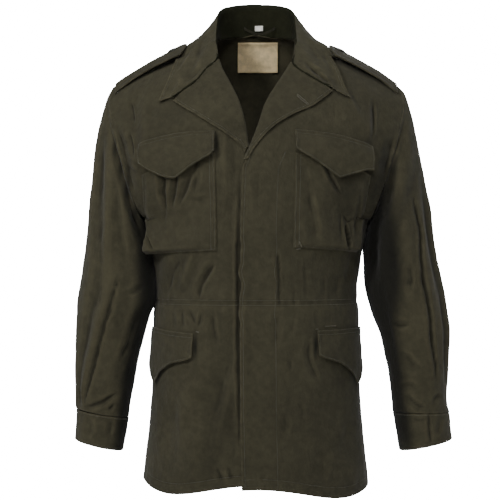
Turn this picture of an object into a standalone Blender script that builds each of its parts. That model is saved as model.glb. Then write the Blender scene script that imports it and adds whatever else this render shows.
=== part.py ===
"""Field jacket, hollow and filled out as if worn: each cut and sewn piece is one closed cloth wall.

Frame: the origin is the middle of the neck opening, level with the tops of the shoulder seams.
+X is the wearer's left, -Y the front and +Z up. Tables and named sizes are in millimetres, and
meshes are made in metres. A side is +1 for the wearer's left and -1 for the wearer's right.
"""

import math

import bpy
import numpy as np

MM = 0.001

# ---- driving sizes -------------------------------------------------------------------------------
CLOTH = 1.5  # body, sleeve and pocket cloth
LAPEL_CLOTH = 1.5
COLLAR_CLOTH = 2.0
CUFF_CLOTH = 2.4
STRAP_CLOTH = 2.4
LABEL_CLOTH = 1.0
SEAM = 0.3  # gap between two sewn pieces
NECK_HALF_WIDTH = 65.0  # where the shoulder seams end at the neck
BUTTON_DIAMETER = 17.0
BUTTON_THICK = 3.2
BUTTON_RIM = 0.8
FRONT_COLUMNS = 13
BACK_COLUMNS = 11  # on each half
NARROW_ROW = 0.06  # of a table row: the grid's last row, at the shoulder seam or the cuff
NARROW_STEP = 0.012  # of the width: the grid's last column, at the side seam and the armhole

# ---- body rows -----------------------------------------------------------------------------------
# Each row is a cubic from the centre line out to the side edge. The side edge is the side seam up to
# the underarm and the armhole above it; the last row is the shoulder seam, run on to the centre.
# turn: plan angle of the cloth at the side edge (0 straight out, 90 straight back round the side).
# dip: how steeply the cloth falls there. rise: how steeply the row leaves the centre line.
# steps: grid rows up to the next table row.
ROW_COLUMNS = ("steps", "side_x", "side_y", "side_z", "turn", "dip", "side_pull",
               "centre_y", "centre_z", "centre_pull", "rise")
FRONT_ROWS = (
    # steps  side_x side_y side_z turn dip pull  cen_y  cen_z pull rise
    (2,      182.0,   4.0, -706.0, 90,  0,  78, -127.0, -704.0, 112, 0),   # hem
    (2,      174.5,   4.0, -640.0, 90,  0,  78, -128.0, -640.0, 108, 0),
    (1,      168.0,   4.0, -560.0, 90,  0,  78, -128.0, -558.0, 106, 0),   # hip
    (1,      166.0,   4.0, -498.0, 90,  0,  78, -127.0, -494.0, 106, 0),
    (1,      165.5,   4.0, -452.0, 90,  0,  74, -123.0, -448.0, 104, 0),
    (1,      162.5,   4.0, -412.0, 90,  0,  70, -119.0, -406.0, 100, 0),   # waist
    (1,      166.0,   4.0, -374.0, 90,  0,  72, -123.0, -364.0, 104, 0),
    (1,      172.0,   4.0, -336.0, 90,  0,  74, -127.0, -322.0, 108, 0),
    (1,      180.0,   4.0, -300.0, 90,  0,  74, -128.0, -284.0, 112, 0),   # underarm
    (1,      184.0, -33.0, -291.0, 72,  4,  52, -128.0, -258.0, 112, 0),
    (2,      191.0, -55.0, -272.0, 58,  8,  46, -127.0, -230.0, 112, 0),
    (2,      202.0, -64.0, -240.0, 48, 10,  48, -124.0, -198.0, 112, 0),
    (2,      214.0, -62.0, -200.0, 40, 14,  52, -117.0, -160.0, 112, 0),
    (2,      226.0, -51.0, -159.0, 30, 20,  54, -105.0, -118.0, 112, 2),
    (2,      235.0, -31.0, -118.0, 17, 30,  50,  -82.0,  -70.0, 116, 8),
    (2,      236.0, -15.0,  -95.0,  8, 35,  40,  -50.0,  -24.0, 122, 15),
    (0,      232.0,   2.0,  -80.0,  0, 38,  34,    6.0,   21.0, 128, 20),  # shoulder seam
)
BACK_ROWS = (
    (2,      182.0,   4.0, -706.0, 90,  0,  70,  116.0, -712.0, 112, 0),   # hem
    (2,      174.5,   4.0, -640.0, 90,  0,  70,  115.0, -644.0, 108, 0),
    (1,      168.0,   4.0, -560.0, 90,  0,  68,  113.0, -562.0, 106, 0),   # hip
    (1,      166.0,   4.0, -498.0, 90,  0,  66,  109.0, -498.0, 106, 0),
    (1,      165.5,   4.0, -452.0, 90,  0,  64,  104.0, -450.0, 104, 0),
    (1,      162.5,   4.0, -412.0, 90,  0,  62,  101.0, -408.0, 100, 0),   # waist
    (1,      166.0,   4.0, -374.0, 90,  0,  64,  106.0, -366.0, 104, 0),
    (1,      172.0,   4.0, -336.0, 90,  0,  68,  113.0, -324.0, 108, 0),
    (1,      180.0,   4.0, -300.0, 90,  0,  70,  119.0, -284.0, 112, 0),   # underarm
    (1,      184.0,  39.0, -291.0, 72,  4,  50,  123.0, -252.0, 112, 0),
    (2,      191.0,  58.0, -270.0, 58,  8,  44,  125.0, -218.0, 112, 0),
    (2,      203.0,  65.0, -236.0, 46, 10,  46,  124.0, -178.0, 112, 0),
    (2,      216.0,  62.0, -196.0, 36, 14,  50,  119.0, -134.0, 112, 0),
    (2,      227.0,  51.0, -156.0, 28, 20,  52,  110.0,  -86.0, 112, 2),
    (3,      235.0,  33.0, -116.0, 17, 30,  48,   94.0,  -36.0, 116, 6),
    (2,      236.0,  17.0,  -94.0,  8, 35,  40,   68.0,   16.0, 122, 14),
    (0,      232.0,   2.0,  -80.0,  0, 38,  34,    6.0,   21.0, 128, 20),  # shoulder seam
)
UNDERARM_ROW = 8
NECK_ROW = 15  # the back neckline's centre lies on this row of BACK_ROWS
NECK_ROUNDNESS = 2.4  # 2 is an ellipse
NECK_COLUMNS = 5  # grid columns between the centre back and the end of the shoulder seam
HEM_SAG = 13.0  # the hem hangs lower half way round each front
HEM_DROP = {1: 9.0, -1: 0.0}  # and at the left side seam

# Free edge of each front, as x at each height: straight fly edge, then the lapel's roll line.
LEFT_EDGE = ((-760, -23), (-700, -23), (-600, -25), (-450, -26), (-300, -25), (-215, -22),
             (-190, -15), (-165, -7), (-147, 1), (-110, 18), (-78, 37), (-46, 56), (-20, 62), (30, 65))
RIGHT_EDGE = ((-760, -30), (-700, -30), (-240, -30), (-218, -28), (-200, -12), (-182, 2), (-165, 10),
              (-150, 14.5), (-133, 19.5), (-110, 30), (-87, 41), (-47, 61), (-20, 64), (30, 65))
FLY_DEPTH = 2.6  # how far the right front lies under the left one
BREAK_DEPTH = 6.2  # and at the lapels' break, where the left facing turns in between them
FLY_HEIGHTS = ((-260, FLY_DEPTH), (-222, BREAK_DEPTH), (-160, BREAK_DEPTH), (-134, 0.0))
FLY_BLEND = (52.0, 34.0)  # the right front steps down between these distances from the centre

# Broad folds pressed into the body: a valley (depth > 0) or ridge (< 0) along a line seen from the front.
# Columns: x0, z0, x1, z1, width, depth.
LEFT_FRONT_FOLDS = (
    (150, -95, 178, -165, 16, -3.5),
    (196, -110, 186, -190, 14, 4.0),
    (118, -420, 92, -350, 20, 2.5),
    (60, -560, 70, -712, 30, 2.0),
    (145, -600, 158, -712, 26, -3.0),
)
RIGHT_FRONT_FOLDS = (
    (-196, -100, -188, -190, 13, 4.0),
    (-176, -110, -178, -200, 14, -3.5),
    (-105, -360, -124, -412, 20, 2.5),
    (-50, -440, -62, -700, 26, 5.0),
    (-105, -560, -96, -712, 30, -4.0),
)
BACK_FOLDS = (
    (-60, -180, -95, -330, 26, 2.5),
    (70, -170, 100, -330, 26, 2.5),
    (20, -420, 30, -700, 30, 3.0),
    (-80, -430, -100, -700, 30, 3.5),
)

# ---- lapels and collar ---------------------------------------------------------------------------
LAPEL_WRAP = 12.0  # facing that turns inside past the roll line
LAPEL_LIFT = 4.0  # how far the lapel's outer face stands off the front at its outer edge
LAPEL_FOLD_LIFT = LAPEL_CLOTH + 0.9  # and at the roll line
LAPEL_ROWS = 9
LAPEL_ACROSS = (0.0, 0.16, 0.38, 0.6, 0.8, 1.0)  # grid columns from the roll line out to the edge
# Lapel outer edge from the break up to the tip, then the gorge from the roll line out to the notch.
LEFT_LAPEL_EDGE = ((-14, -206), (-5, -187), (14, -163), (40, -141.5), (66, -128), (92, -117),
                   (119, -95))
LEFT_GORGE = ((57, -47), (70, -63), (95, -78), (115, -88.5))
LEFT_BREAK_Z = -203.0
RIGHT_BREAK_Z = -154.0
RIGHT_LAPEL_EDGE = ((20, -180), (26, -176), (42, -166), (62, -153), (85, -139), (108, -124.5),
                    (130, -109.5))
RIGHT_GORGE = ((62, -41), (84, -54), (93, -76), (117, -95), (131, -104.5))

# Collar sections from the notch round to the centre back. seam, fold and edge are the points where the
# collar is sewn, where it folds over and where it ends.
COLLAR_SECTIONS = 13  # from the roll line to the centre back
COLLAR_FRONT_SECTIONS = 5  # along the gorge
COLLAR_ACROSS = (0.0, 0.12, 0.3, 0.5, 0.7, 0.86, 1.0)  # grid points from the gorge out to the edge
COLLAR_STAND = (0.0, 0.5, 0.88)  # grid points up the stand
COLLAR_FALL = (0.22, 0.46, 0.7, 0.86, 1.0)  # and down the fall
COLLAR_LIFTS = (3.0, 6.2)  # off the front, at the gorge and at the edge
COLLAR_FOLD = ((2.6, 1.2), (5.4, -1.0))  # the fold's two points: out and up from the top of the stand
COLLAR_BACK_ROWS = (
    # seam x y z         fold x y z          edge x y z
    (64.5, -26.0, -18.0, 62.5, -27.0, -10.0, 120.0, -20.0, -33.0),
    (65.0, 5.0, 0.8, 62.0, 3.0, 16.0, 106.0, 6.0, -9.0),
    (59.0, 34.0, 9.0, 57.0, 34.0, 48.0, 94.0, 48.0, -7.0),
    (36.0, 57.0, 15.5, 34.0, 56.0, 60.0, 54.0, 84.0, -8.0),
    (0.0, 67.0, 18.0, 0.0, 65.0, 64.0, 0.0, 92.0, -12.0),
)
COLLAR_SPREAD = {1: 1.05, -1: 1.0}  # the left side of the fall spreads a little wider
LEFT_COLLAR_FRONT_EDGE = ((118, -37), (127, -56), (134, -77), (145, -108))
RIGHT_COLLAR_FRONT_EDGE = ((126, -40), (134, -64), (142, -85), (152, -112))

# ---- sleeves -------------------------------------------------------------------------------------
# Rings down the arm. outer_x and inner_x are the silhouette seen from the front; tilt lowers the
# body side of the ring below its centre and raises the outer side by the same.
LEFT_SLEEVE_ROWS = (
    # steps z  outer_x inner_x mid_y half_depth tilt
    (1, -356.0, 291.0, 175.5, 0.0, 67.0, 0),
    (1, -400.0, 301.0, 175.5, -3.0, 64.0, 0),
    (1, -440.0, 307.0, 185.0, -8.0, 60.0, 0),
    (2, -480.0, 309.0, 200.0, -14.0, 54.0, 2),
    (1, -530.0, 307.0, 210.0, -19.0, 48.0, 2),
    (1, -575.0, 306.0, 215.5, -24.0, 44.0, 1),
    (0, -601.0, 310.0, 218.5, -27.0, 42.0, 0),
)
RIGHT_SLEEVE_ROWS = (
    (1, -352.0, 279.0, 171.8, 0.0, 67.0, 0),
    (1, -390.0, 284.0, 167.0, -3.0, 65.0, 0),
    (1, -422.0, 287.5, 167.0, -5.0, 62.0, 0),
    (1, -446.0, 289.0, 177.0, -8.0, 59.0, 0),
    (1, -485.0, 291.0, 184.0, -12.0, 54.0, 2),
    (1, -530.0, 292.0, 192.5, -18.0, 49.0, 3),
    (1, -575.0, 290.0, 200.0, -23.0, 45.0, 5),
    (0, -602.0, 289.0, 204.0, -26.0, 43.0, 7),
)
CAP_STEPS = 6  # grid rings between the armhole and the first ring of the table
CAP_REACH = 0.28  # how far the sleeve keeps the armhole's direction, as a share of the distance to go
UNDERARM_CLEARANCE = 0.5  # the sleeve hangs just off the body below the armhole
ARM_REACH = 0.95  # and how far up it already has the arm's direction
ARM_LEAN = {1: (0.17, 0.0), -1: (0.09, 0.0)}  # how far the arm leans out on its outer and body sides
# Columns: angle0, z0, angle1, z1, width, depth.
LEFT_SLEEVE_FOLDS = (
    (38, -240, 22, -545, 11, 6.0),
    (20, -260, 12, -540, 9, -4.0),
    (62, -235, 70, -420, 13, 3.5),
    (225, -430, 300, -500, 16, 4.0),
    (200, -460, 260, -540, 16, 3.5),
)
RIGHT_SLEEVE_FOLDS = (
    (65, -400, 28, -590, 11, 5.0),
    (84, -410, 50, -580, 10, -3.0),
    (52, -190, 58, -340, 12, 4.0),
    (225, -430, 300, -500, 16, 4.0),
    (200, -460, 260, -540, 16, 3.5),
)

# ---- cuffs ---------------------------------------------------------------------------------------
CUFF_LAP = 26.0  # degrees by which the cuff's end laps over its start
CUFF_STEPS = 24
# Columns: z, outer_x, inner_x, mid_y, half_depth, tilt.
LEFT_CUFF_ROWS = (
    (-601.7, 309.5, 218.5, -27.0, 43.5, 0),
    (-629.0, 311.5, 224.0, -29.0, 42.5, 4),
    (-654.0, 313.5, 228.5, -31.0, 42.0, 9),
)
RIGHT_CUFF_ROWS = (
    (-603.5, 288.5, 203.5, -26.0, 43.5, 7),
    (-629.0, 289.0, 208.0, -29.0, 42.5, 8),
    (-654.0, 290.5, 213.0, -32.0, 42.0, 9),
)
CUFF_START = -52.0  # degrees: where the cuff's end comes, behind the outer side

# ---- pockets -------------------------------------------------------------------------------------
# Places are seen from the front. Lifts are how far the outer face stands off the front.
POCKET_SEAM_LIFT = 2.3
# share along the pocket, lift at the mouth, lift at the bottom
POCKET_LIFTS = ((0.0, 2.3, 2.3), (0.12, 3.0, 4.5), (0.5, 4.0, 8.0), (0.88, 4.5, 15.0), (1.0, 2.6, 2.6))
# A row for each height down the pocket: inner x, inner z, outer x, outer z.
LEFT_POCKET = ((60.0, -192.0, 178.0, -226.0), (59.0, -235.0, 170.0, -268.0), (57.5, -290.0, 162.0, -318.0),
               (56.5, -339.0, 156.0, -347.0))
RIGHT_POCKET = ((64.5, -192.0, 179.0, -226.0), (63.5, -240.0, 171.0, -272.0), (62.0, -295.0, 164.0, -318.0),
                (61.5, -344.0, 160.0, -350.0))

FLAP_COLUMNS = 12
FLAP_ROWS = 5
CHEST_FLAP_LIFTS = (2.8, 6.6, 9.0, 10.5, 11.0, 11.0)
HIP_FLAP_LIFTS = (2.4, 2.9, 3.4, 3.9, 4.4, 4.8)
# A flap's outline, a row for each corner: x along the top edge, z of the top edge, z of the lower edge.
LEFT_CHEST_FLAP = ((60, -155.5, -186.5), (64, -155.8, -191), (96, -159, -209), (129.5, -163.5, -231),
                   (172, -175.5, -218.5), (183.5, -180.5, -218))
RIGHT_CHEST_FLAP = ((64.5, -158, -191), (69, -158, -197), (99, -158.5, -213), (128, -161.5, -232),
                    (150, -166, -228), (172, -172.5, -217), (183, -177, -208))
# Hip flaps run round to the side, so their rows give the place along the body row instead of x.
HIP_ALONG = (0.0, 0.06, 0.30, 0.50, 0.66, 0.86, 1.0)
LEFT_HIP_FLAP = ((-467.5, -507), (-467.4, -511), (-467, -520), (-466, -535), (-466, -556), (-466, -538),
                 (-466, -522))
RIGHT_HIP_FLAP = ((-472.5, -510), (-472, -514), (-470, -521), (-468, -534), (-466, -555), (-466, -538),
                  (-466, -522))
HIP_INNER_X = {1: 94.0, -1: 98.0}
HIP_OUTER_SHARE = 0.955

# ---- shoulder straps, loop, label and tag --------------------------------------------------------
STRAP_HALF_WIDTH = 23.0
ROOF_ROW = 13.0  # the shoulder's outer surface is read from this body row up
STRAP_TIP_X = {1: 113.5, -1: 108.0}
STRAP_TIP_LENGTH = 15.0
STRAP_END_X = 226.0
STRAP_LIFTS = (3.4, 4.8, 6.0, 7.0, 8.0, 9.0, 9.8, 10.6, 11.4)
STRAP_BUTTON_X = 131.0

LOOP_HALF_SPAN = 25.0
LOOP_CENTRE_X = 6.0
LOOP_Z = 24.0
LOOP_SAG = 10.0
LOOP_WIDTH = 4.0
LOOP_STANDS_OFF = 8.0
LABEL_X = (-31.0, 37.0)
LABEL_Z = (0.0, -48.0)
TAG_X = (-2.0, 11.5)
TAG_Z = (21.0, 31.0)
LINING_CLEARANCE = 0.8  # from an inner face of the cloth to what is sewn on it
LABEL_CLEARANCE = 2.2  # the label is flatter than the back behind it

COLOURS = {
    "cloth": (0.052, 0.048, 0.030),
    "cloth_light": (0.060, 0.055, 0.034),
    "button": (0.030, 0.028, 0.018),
    "tape": (0.035, 0.033, 0.022),
    "label": (0.35, 0.27, 0.155),
    "tag": (0.75, 0.75, 0.72),
}
ROUGHNESS = {"button": 0.45, "label": 0.8, "tag": 0.75}


# ---- smooth tables -------------------------------------------------------------------------------
def smooth_rows(rows, at, beyond=None):
    """Columns of a table at fractional row numbers, along a curve through its rows (Catmull-Rom).

    beyond is the row that the curve makes for after the last one.
    """
    table = np.asarray(rows, float)
    last = len(table) - 1
    at = np.clip(np.asarray(at, float), 0, last)
    low = np.clip(np.floor(at).astype(int), 0, last - 1)
    share = (at - low)[..., None]
    before = table[np.maximum(low - 1, 0)]
    table = np.vstack([table, table[-1] if beyond is None else beyond])
    after = table[low + 2]
    start, end = table[low], table[low + 1]
    return 0.5 * (2 * start + (end - before) * share
                  + (2 * before - 5 * start + 4 * end - after) * share ** 2
                  + (3 * start - before - 3 * end + after) * share ** 3)


def grid_rows(rows):
    """Fractional row numbers of the grid, from the table's steps, with a narrow last row at the seam."""
    places = [index + step / row[0] for index, row in enumerate(rows) for step in range(int(row[0]))]
    last = len(rows) - 1.0
    return np.array(places + [last - NARROW_ROW, last])


def seamed(shares):
    """Shares with a narrow last step, so that the cloth's edge stands square to the seam."""
    return np.concatenate([shares[:-1], [shares[-1] - NARROW_STEP, shares[-1]]])


def edge_x(edge, z):
    """x of a front's free edge at each height."""
    heights, across = np.array(edge, float).T
    return np.interp(z, heights, across)


def eased(value):
    """0 to 1 with soft ends."""
    value = np.clip(value, 0, 1)
    return value * value * (3 - 2 * value)


def unit(vectors):
    return vectors / np.maximum(np.linalg.norm(vectors, axis=-1, keepdims=True), 1e-9)


def line_distance(across, up, fold):
    """Distance to a fold's line, and a share that fades from 1 on it to 0 past its ends."""
    x0, z0, x1, z1 = fold[:4]
    length = math.hypot(x1 - x0, z1 - z0)
    along = ((across - x0) * (x1 - x0) + (up - z0) * (z1 - z0)) / length
    off = ((across - x0) * (z1 - z0) - (up - z0) * (x1 - x0)) / length
    fade = eased(0.5 + np.minimum(along, length - along) / (0.35 * length))
    return off, fade


def fold_depth(across, up, folds):
    """Depth of all the folds at each point."""
    depth = np.zeros(np.broadcast(across, up).shape)
    for fold in folds:
        off, fade = line_distance(across, up, fold)
        depth += fold[5] * fade * np.exp(-(off / fold[4]) ** 2)
    return depth


# ---- the body's surface --------------------------------------------------------------------------
class BodyHalf:
    """Outer surface of one front or of one half of the back, from a table of rows."""

    def __init__(self, rows, side, folds=(), under=False):
        self.rows = rows
        self.side = side
        self.folds = folds
        self.under = under
        self.facing = -1 if rows is FRONT_ROWS else 1
        over = dict(zip(ROW_COLUMNS, (BACK_ROWS if rows is FRONT_ROWS else FRONT_ROWS)[-2]))
        over["turn"] = -over["turn"]
        self.beyond = np.array(list(over.values()), float)

    def plain_point(self, t, v):
        """The surface without folds: t along the row from the centre line, v up the rows."""
        t, v = np.broadcast_arrays(np.asarray(t, float), np.asarray(v, float))
        (_, side_x, side_y, side_z, turn, dip, side_pull,
         centre_y, centre_z, centre_pull, rise) = np.moveaxis(smooth_rows(self.rows, v, self.beyond), -1, 0)
        turn, dip, rise = np.radians(turn), np.radians(dip), np.radians(rise)
        flat = np.cos(dip)
        back = -self.facing  # round the side, a front runs backwards and a back forwards
        near = np.stack([centre_pull * np.cos(rise), centre_y, centre_z - centre_pull * np.sin(rise)], -1)
        far = np.stack([side_x - side_pull * flat * np.cos(turn),
                        side_y - side_pull * flat * np.sin(turn) * back,
                        side_z + side_pull * np.sin(dip)], -1)
        centre = np.stack([0 * centre_y, centre_y, centre_z], -1)
        end = np.stack([side_x, side_y, side_z], -1)
        s = np.abs(t)[..., None]
        r = 1 - s
        point = centre * r ** 3 + 3 * near * s * r ** 2 + 3 * far * s ** 2 * r + end * s ** 3
        hem = eased(1 - v / 3.0)
        out = np.clip(np.abs(t), 0, 1)
        point[..., 2] -= hem * (HEM_SAG * np.sin(np.pi * out) ** 2 + HEM_DROP[self.side] * out ** 4)
        point[..., 0] *= np.where(t < 0, -self.side, self.side)
        return point

    def plain_normal(self, t, v):
        step = 0.004
        t = np.clip(np.asarray(t, float), -1, 1 - 2 * step)
        v = np.clip(np.asarray(v, float), 2 * step, len(self.rows) - 1 - 2 * step)
        across = self.plain_point(t + step, v) - self.plain_point(t - step, v)
        up = self.plain_point(t, v + step) - self.plain_point(t, v - step)
        return unit(np.cross(across, up)) * self.side * -self.facing

    def point(self, t, v):
        """The surface with its folds, and with the fly step on the front that lies under."""
        point = self.plain_point(t, v)
        normal = self.plain_normal(t, v)
        depth = fold_depth(point[..., 0], point[..., 2], self.folds)
        # The seams keep their line, so that two pieces still meet.
        depth *= eased((1 - np.abs(t)) / 0.1) * eased((len(self.rows) - 1 - v) / 1.5)
        if self.under:
            wide, narrow = FLY_BLEND
            step = edge_x(FLY_HEIGHTS, point[..., 2])
            depth += step * eased((wide - self.side * point[..., 0]) / (wide - narrow))
        return point - normal * depth[..., None]

    def v_at(self, t, z):
        """Row number at which the column t reaches the height z."""
        t, z = np.broadcast_arrays(np.asarray(t, float), np.asarray(z, float))
        low, high = np.zeros(t.shape), np.full(t.shape, len(self.rows) - 1.0)
        for _ in range(26):
            middle = (low + high) / 2
            under = self.plain_point(t, middle)[..., 2] < z
            low, high = np.where(under, middle, low), np.where(under, high, middle)
        return (low + high) / 2

    def t_at(self, x, z):
        """Place along the row, at the height z, where the surface is x from the centre line."""
        x, z = np.broadcast_arrays(np.asarray(x, float), np.asarray(z, float))
        low, high = np.full(x.shape, -0.4), np.ones(x.shape)
        for _ in range(22):
            middle = (low + high) / 2
            under = self.plain_point(middle, self.v_at(middle, z))[..., 0] * self.side < x
            low, high = np.where(under, middle, low), np.where(under, high, middle)
        return (low + high) / 2

    def start(self, v, edge):
        """t at which the row v meets a front's free edge, given as x towards this front's own side."""
        low, high = np.full(np.shape(v), -0.35), np.ones(np.shape(v))
        for _ in range(26):
            middle = (low + high) / 2
            at = self.plain_point(middle, v)
            inside = at[..., 0] * self.side < edge_x(edge, at[..., 2])
            low, high = np.where(inside, middle, low), np.where(inside, high, middle)
        return (low + high) / 2

    def lifted(self, t, z, lift):
        """Points off the surface, at t along and at the height z, moved out by lift."""
        v = self.v_at(t, z)
        return self.point(t, v) + self.plain_normal(t, v) * np.asarray(lift, float)[..., None]


# ---- meshes --------------------------------------------------------------------------------------
def collection_named(name):
    made = bpy.data.collections.new(name)
    bpy.context.scene.collection.children.link(made)
    return made


def material_named(name):
    made = bpy.data.materials.get(name)
    if made is None:
        made = bpy.data.materials.new(name)
        made.use_nodes = True
        shader = made.node_tree.nodes["Principled BSDF"]
        shader.inputs["Base Color"].default_value = (*COLOURS[name], 1)
        shader.inputs["Roughness"].default_value = ROUGHNESS.get(name, 0.9)
        shader.inputs["Metallic"].default_value = 0.0
        made.diffuse_color = (*COLOURS[name], 1)
    return made


def sheet(name, points, thick, colour="cloth", ring=False, flip=None):
    """A cloth wall: a grid of points in millimetres as its outer face, thickened inwards.

    The outer face looks away from the axis of the ring or, on an open grid, from the body's axis. flip
    settles it by hand: True turns the grid's own order round.
    """
    rows, columns = points.shape[:2]
    index = np.arange(rows * columns).reshape(rows, columns)
    if ring:
        index = np.hstack([index, index[:, :1]])
    corners = np.stack([index[:-1, :-1], index[:-1, 1:], index[1:, 1:], index[1:, :-1]], -1).reshape(-1, 4)
    flat = points.reshape(-1, 3)
    if flip is None:
        faces = flat[corners]
        axis = flat * [0, 0, 1]
        if ring:
            axis = np.repeat(points.mean(1, keepdims=True), columns, 1).reshape(-1, 3)
        out = (faces - axis[corners]).mean(1) * [1, 1, 0]
        normal = np.cross(faces[:, 2] - faces[:, 0], faces[:, 3] - faces[:, 1])
        flip = float((normal * out).sum()) < 0
    if flip:
        corners = corners[:, ::-1]
    mesh = bpy.data.meshes.new(name)
    mesh.from_pydata((flat * MM).tolist(), [], corners.tolist())
    mesh.shade_smooth()
    made = bpy.data.objects.new(name, mesh)
    made.data.materials.append(material_named(colour))
    parts.objects.link(made)
    wall = made.modifiers.new("wall", "SOLIDIFY")
    wall.thickness = thick * MM
    wall.offset = -1
    wall.use_even_offset = True
    wall.thickness_clamp = 0.9
    return made


def button(name, centre, outward):
    """A flat round button, its back at centre and its axis along outward."""
    radius = BUTTON_DIAMETER / 2 * MM
    bpy.ops.mesh.primitive_cylinder_add(vertices=20, radius=radius, depth=BUTTON_THICK * MM)
    made = bpy.context.object
    made.name = name
    made.data.name = name
    direction = unit(np.asarray(outward, float))
    place = (np.asarray(centre, float) + direction * BUTTON_THICK / 2) * MM
    made.location = place.tolist()
    made.rotation_mode = "QUATERNION"
    made.rotation_quaternion = rotation_to(direction)
    made.data.materials.append(material_named("button"))
    edge = made.modifiers.new("rounded rim", "BEVEL")
    edge.width = BUTTON_RIM * MM
    edge.segments = 2
    for owner in made.users_collection:
        owner.objects.unlink(made)
    parts.objects.link(made)
    return made


def rotation_to(direction):
    """Quaternion that turns +Z to a direction."""
    x, y, z = direction
    turn = np.array([1 + z, -y, x, 0.0])
    return (turn / np.linalg.norm(turn)).tolist()


# ---- fronts and back -----------------------------------------------------------------------------
def front_panel(name, half, edge):
    """From the fly edge and roll line to the side seam, the armhole and the shoulder seam."""
    v = grid_rows(half.rows)
    start = half.start(v, edge)
    share = seamed(np.linspace(0, 1, FRONT_COLUMNS + 1))
    t = start[:, None] + (1 - start[:, None]) * share[None, :]
    points = half.point(t, np.repeat(v[:, None], len(share), 1))
    points[: int(np.searchsorted(v, UNDERARM_ROW)) + 1, -2:, 1] -= SEAM / 2  # side seam
    points[-2:, :, 1] -= SEAM / 2  # shoulder seam
    return sheet(name, points, CLOTH)


def neck_t(half):
    """t at which the shoulder seam reaches the neck."""
    places = np.linspace(0, 1, 400)
    across = np.abs(half.plain_point(places, np.full(400, len(half.rows) - 1.0))[:, 0])
    return float(np.interp(NECK_HALF_WIDTH, across, places))


def back_half_points(half):
    """Grid of one half of the back; its columns end on the neckline or on the shoulder seam."""
    v = grid_rows(half.rows)
    neck = neck_t(half)
    inside = np.linspace(0, neck, NECK_COLUMNS)
    outside = seamed(np.linspace(neck, 1, BACK_COLUMNS - NECK_COLUMNS + 2))[1:]
    t = np.concatenate([inside, outside])
    top = len(half.rows) - 1.0
    # The neckline is a rounded quarter from the centre back up to the end of the shoulder seam.
    curve = 1 - np.sqrt(np.maximum(1 - (t / neck) ** NECK_ROUNDNESS, 0))
    highest = np.where(t < neck, NECK_ROW + (top - NECK_ROW) * curve, top)
    shares = (highest[None, :] - UNDERARM_ROW) / (top - UNDERARM_ROW)
    above = UNDERARM_ROW + (v[:, None] - UNDERARM_ROW) * shares
    rows = np.where(v[:, None] > UNDERARM_ROW, above, v[:, None])
    points = half.point(np.repeat(t[None, :], len(v), 0), rows)
    points[: int(np.searchsorted(v, UNDERARM_ROW)) + 1, -2:, 1] += SEAM / 2  # side seam
    points[-2:, t >= neck - 1e-6, 1] += SEAM / 2  # shoulder seam
    return points


def back_panel():
    left, right = back_half_points(back_left), back_half_points(back_right)
    return sheet("back", np.concatenate([right[:, :0:-1], left], 1), CLOTH)


# ---- sleeves -------------------------------------------------------------------------------------
def armhole(side):
    """Armhole points, from the shoulder down the front and up the back, and the cloth's way there."""
    front, back = (front_left, back_left) if side > 0 else (front_right, back_right)
    rows = grid_rows(FRONT_ROWS)
    rows = rows[rows >= UNDERARM_ROW]
    back_rows = grid_rows(BACK_ROWS)
    back_rows = back_rows[back_rows > UNDERARM_ROW][:-1]
    points, ways = [], []
    for half, places in ((front, rows[::-1]), (back, back_rows)):
        edge = np.ones(len(places))
        points.append(half.point(edge, places))
        values = smooth_rows(half.rows, places, half.beyond)
        turn, dip = np.radians(values[:, 4]), np.radians(values[:, 5])
        ways.append(np.stack([side * np.cos(turn) * np.cos(dip), -half.facing * np.sin(turn) * np.cos(dip),
                              -np.sin(dip)], 1))
    return np.concatenate(points), np.concatenate(ways)


def ring_angles(points):
    """An angle for each armhole point: 0 at the shoulder, 90 at the front, 180 at the underarm."""
    steps = np.linalg.norm(np.roll(points, -1, 0) - points, axis=1)
    lowest = int(np.argmin(points[:, 2]))
    down = np.concatenate([[0], np.cumsum(steps[:lowest])])
    up = np.cumsum(steps[lowest:])
    return np.concatenate([down / down[-1] * 180, 180 + up[:-1] / up[-1] * 180])


def arm_ring(row, angles, side):
    """Points of one ring of a sleeve or cuff; row is z, outer_x, inner_x, mid_y, half_depth, tilt."""
    z, outer, inner, mid_y, half_depth, tilt = row
    turn = np.radians(angles)
    x = (outer + inner) / 2 + (outer - inner) / 2 * np.cos(turn)
    y = mid_y - half_depth * np.sin(turn)
    return np.stack([side * x, y, z + tilt * np.cos(turn)], -1)


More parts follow.
